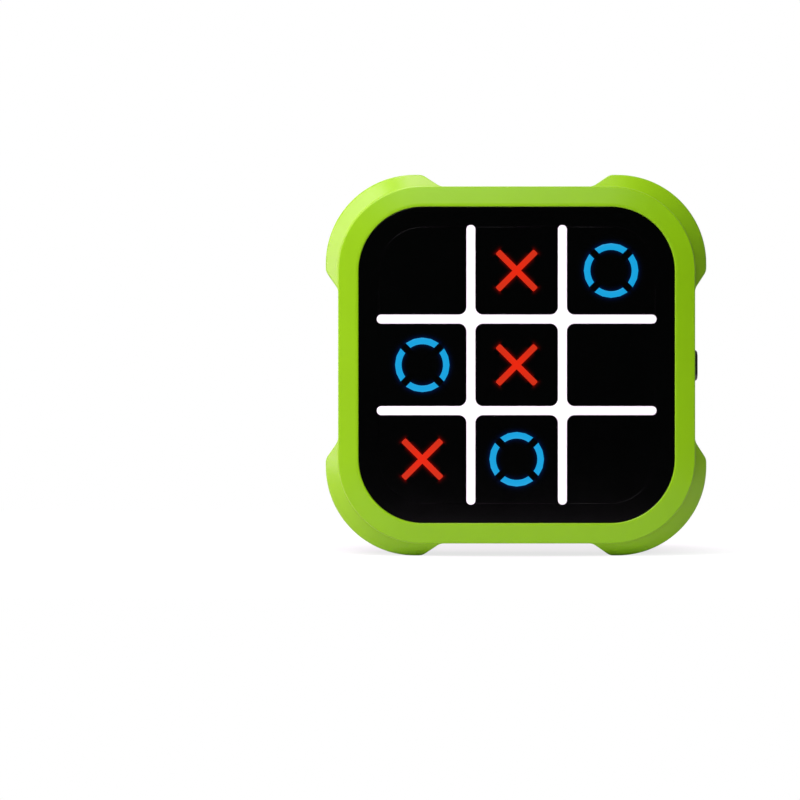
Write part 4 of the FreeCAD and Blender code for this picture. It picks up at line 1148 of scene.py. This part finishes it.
def make_floor():
    """A white table: it glows for the camera alone, so that it is as white as the backdrop
    where the light falls.
    It glows less in an oval about the case, a painted shadow that leaves it pale grey under the
    object."""
    material, tree, shader = new_material("floor_white")
    shader.inputs["Roughness"].default_value = 0.9
    shader.inputs["Specular IOR Level"].default_value = 0.0
    seen = node(tree, "ShaderNodeLightPath").outputs["Is Camera Ray"]
    color = mixed(tree, seen, (0.8, 0.8, 0.8, 1), (0.12, 0.12, 0.12, 1))
    tree.links.new(color, shader.inputs["Base Color"])
    place = node(tree, "ShaderNodeTexCoord").outputs["Object"]
    painted_shadow_oval = {0: place, 1: (20.0, 18.0, 0.0), 2: (0.0, -0.54, 0.0)}
    place_in_shadow_oval = node(tree, "ShaderNodeVectorMath", painted_shadow_oval, operation="MULTIPLY_ADD")
    away = node(tree, "ShaderNodeVectorMath", {0: place_in_shadow_oval.outputs[0]}, operation="LENGTH")
    # Painted shadow: by place alone, the glow is 0.76 in the oval under the case and 0.94
    # outside it. The lamps' real shadow shows only through the dim base colour that the camera
    # sees.
    white = mapped(tree, away.outputs["Value"], 0.75, 1.15, 0.76, 0.94)
    glow = maths(tree, "MULTIPLY", seen, white)
    shader.inputs["Emission Color"].default_value = (1, 1, 1, 1)
    tree.links.new(glow, shader.inputs["Emission Strength"])
    mesh = bpy.data.meshes.new("floor")
    corners = [(-0.35, -0.2, 0), (0.35, -0.2, 0), (0.35, 0.35, 0), (-0.35, 0.35, 0)]
    mesh.from_pydata(corners, [], [(0, 1, 2, 3)])
    mesh.materials.append(material)
    floor = bpy.data.objects.new("floor", mesh)
    bpy.context.scene.collection.objects.link(floor)


make_floor()

ROSE = (1.0, 0.6, 1.0)


def make_light(name, place, width, height, power, tint=(1, 1, 1)):
    """A rectangular light aimed at the middle of the case. Sizes are in metres."""
    light_data = bpy.data.lights.new(name, "AREA")
    light_data.color = tint
    light_data.shape = "RECTANGLE"
    light_data.size, light_data.size_y = width, height
    light_data.energy = power
    light = bpy.data.objects.new(name, light_data)
    light.location = place
    towards = Vector((0, 0, CASE_MIDDLE * MM)) - Vector(place)
    light.rotation_euler = towards.to_track_quat("-Z", "Y").to_euler()
    bpy.context.scene.collection.objects.link(light)


make_light("key", (-0.2, -0.33, 0.48), 0.3, 0.3, 3.2, (1.0, 0.97, 1.0))
make_light("fill", (-0.35, -0.45, 0.04), 0.2, 0.2, 0.3)
make_light("sheen_top", (-0.02, -0.5, 0.3), 0.16, 0.06, 0.42)
make_light("strip_left", (-0.38, -0.01, 0.1), 0.1, 0.3, 0.9, ROSE)
make_light("strip_corner", (-0.27, -0.08, 0.32), 0.12, 0.3, 1.0, ROSE)
make_light("strip_top", (-0.04, -0.01, 0.42), 0.32, 0.1, 0.8, ROSE)


def make_surround():
    """White for the camera. For all else it is dim, and dark in front, so that the polished
    face stays black, and gloss sees the white backdrop behind the object."""
    world = bpy.data.worlds.new("studio")
    bpy.context.scene.world = world
    world.use_nodes = True
    tree = world.node_tree
    surround = tree.nodes["Background"]
    direction = node(tree, "ShaderNodeTexCoord").outputs["Generated"]
    forward = node(tree, "ShaderNodeSeparateXYZ", {0: direction}).outputs["Y"]
    smooth = {"interpolation_type": "SMOOTHSTEP"}
    dim = mapped(tree, forward, -0.8, -0.2, 0.0, 0.16, **smooth)
    behind = mapped(tree, forward, 0.25, 0.6, 0.0, 1.0, **smooth)
    path = node(tree, "ShaderNodeLightPath").outputs
    shine = maths(tree, "MULTIPLY", path["Is Glossy Ray"], behind)
    around = maths(tree, "MAXIMUM", dim, shine)
    strength = node(tree, "ShaderNodeMix", {0: path["Is Camera Ray"], 2: around, 3: 1.0})
    tree.links.new(strength.outputs[0], surround.inputs["Strength"])
    surround.inputs["Color"].default_value = (1, 1, 1, 1)


make_surround()

bpy.context.scene.view_settings.view_transform = "Standard"
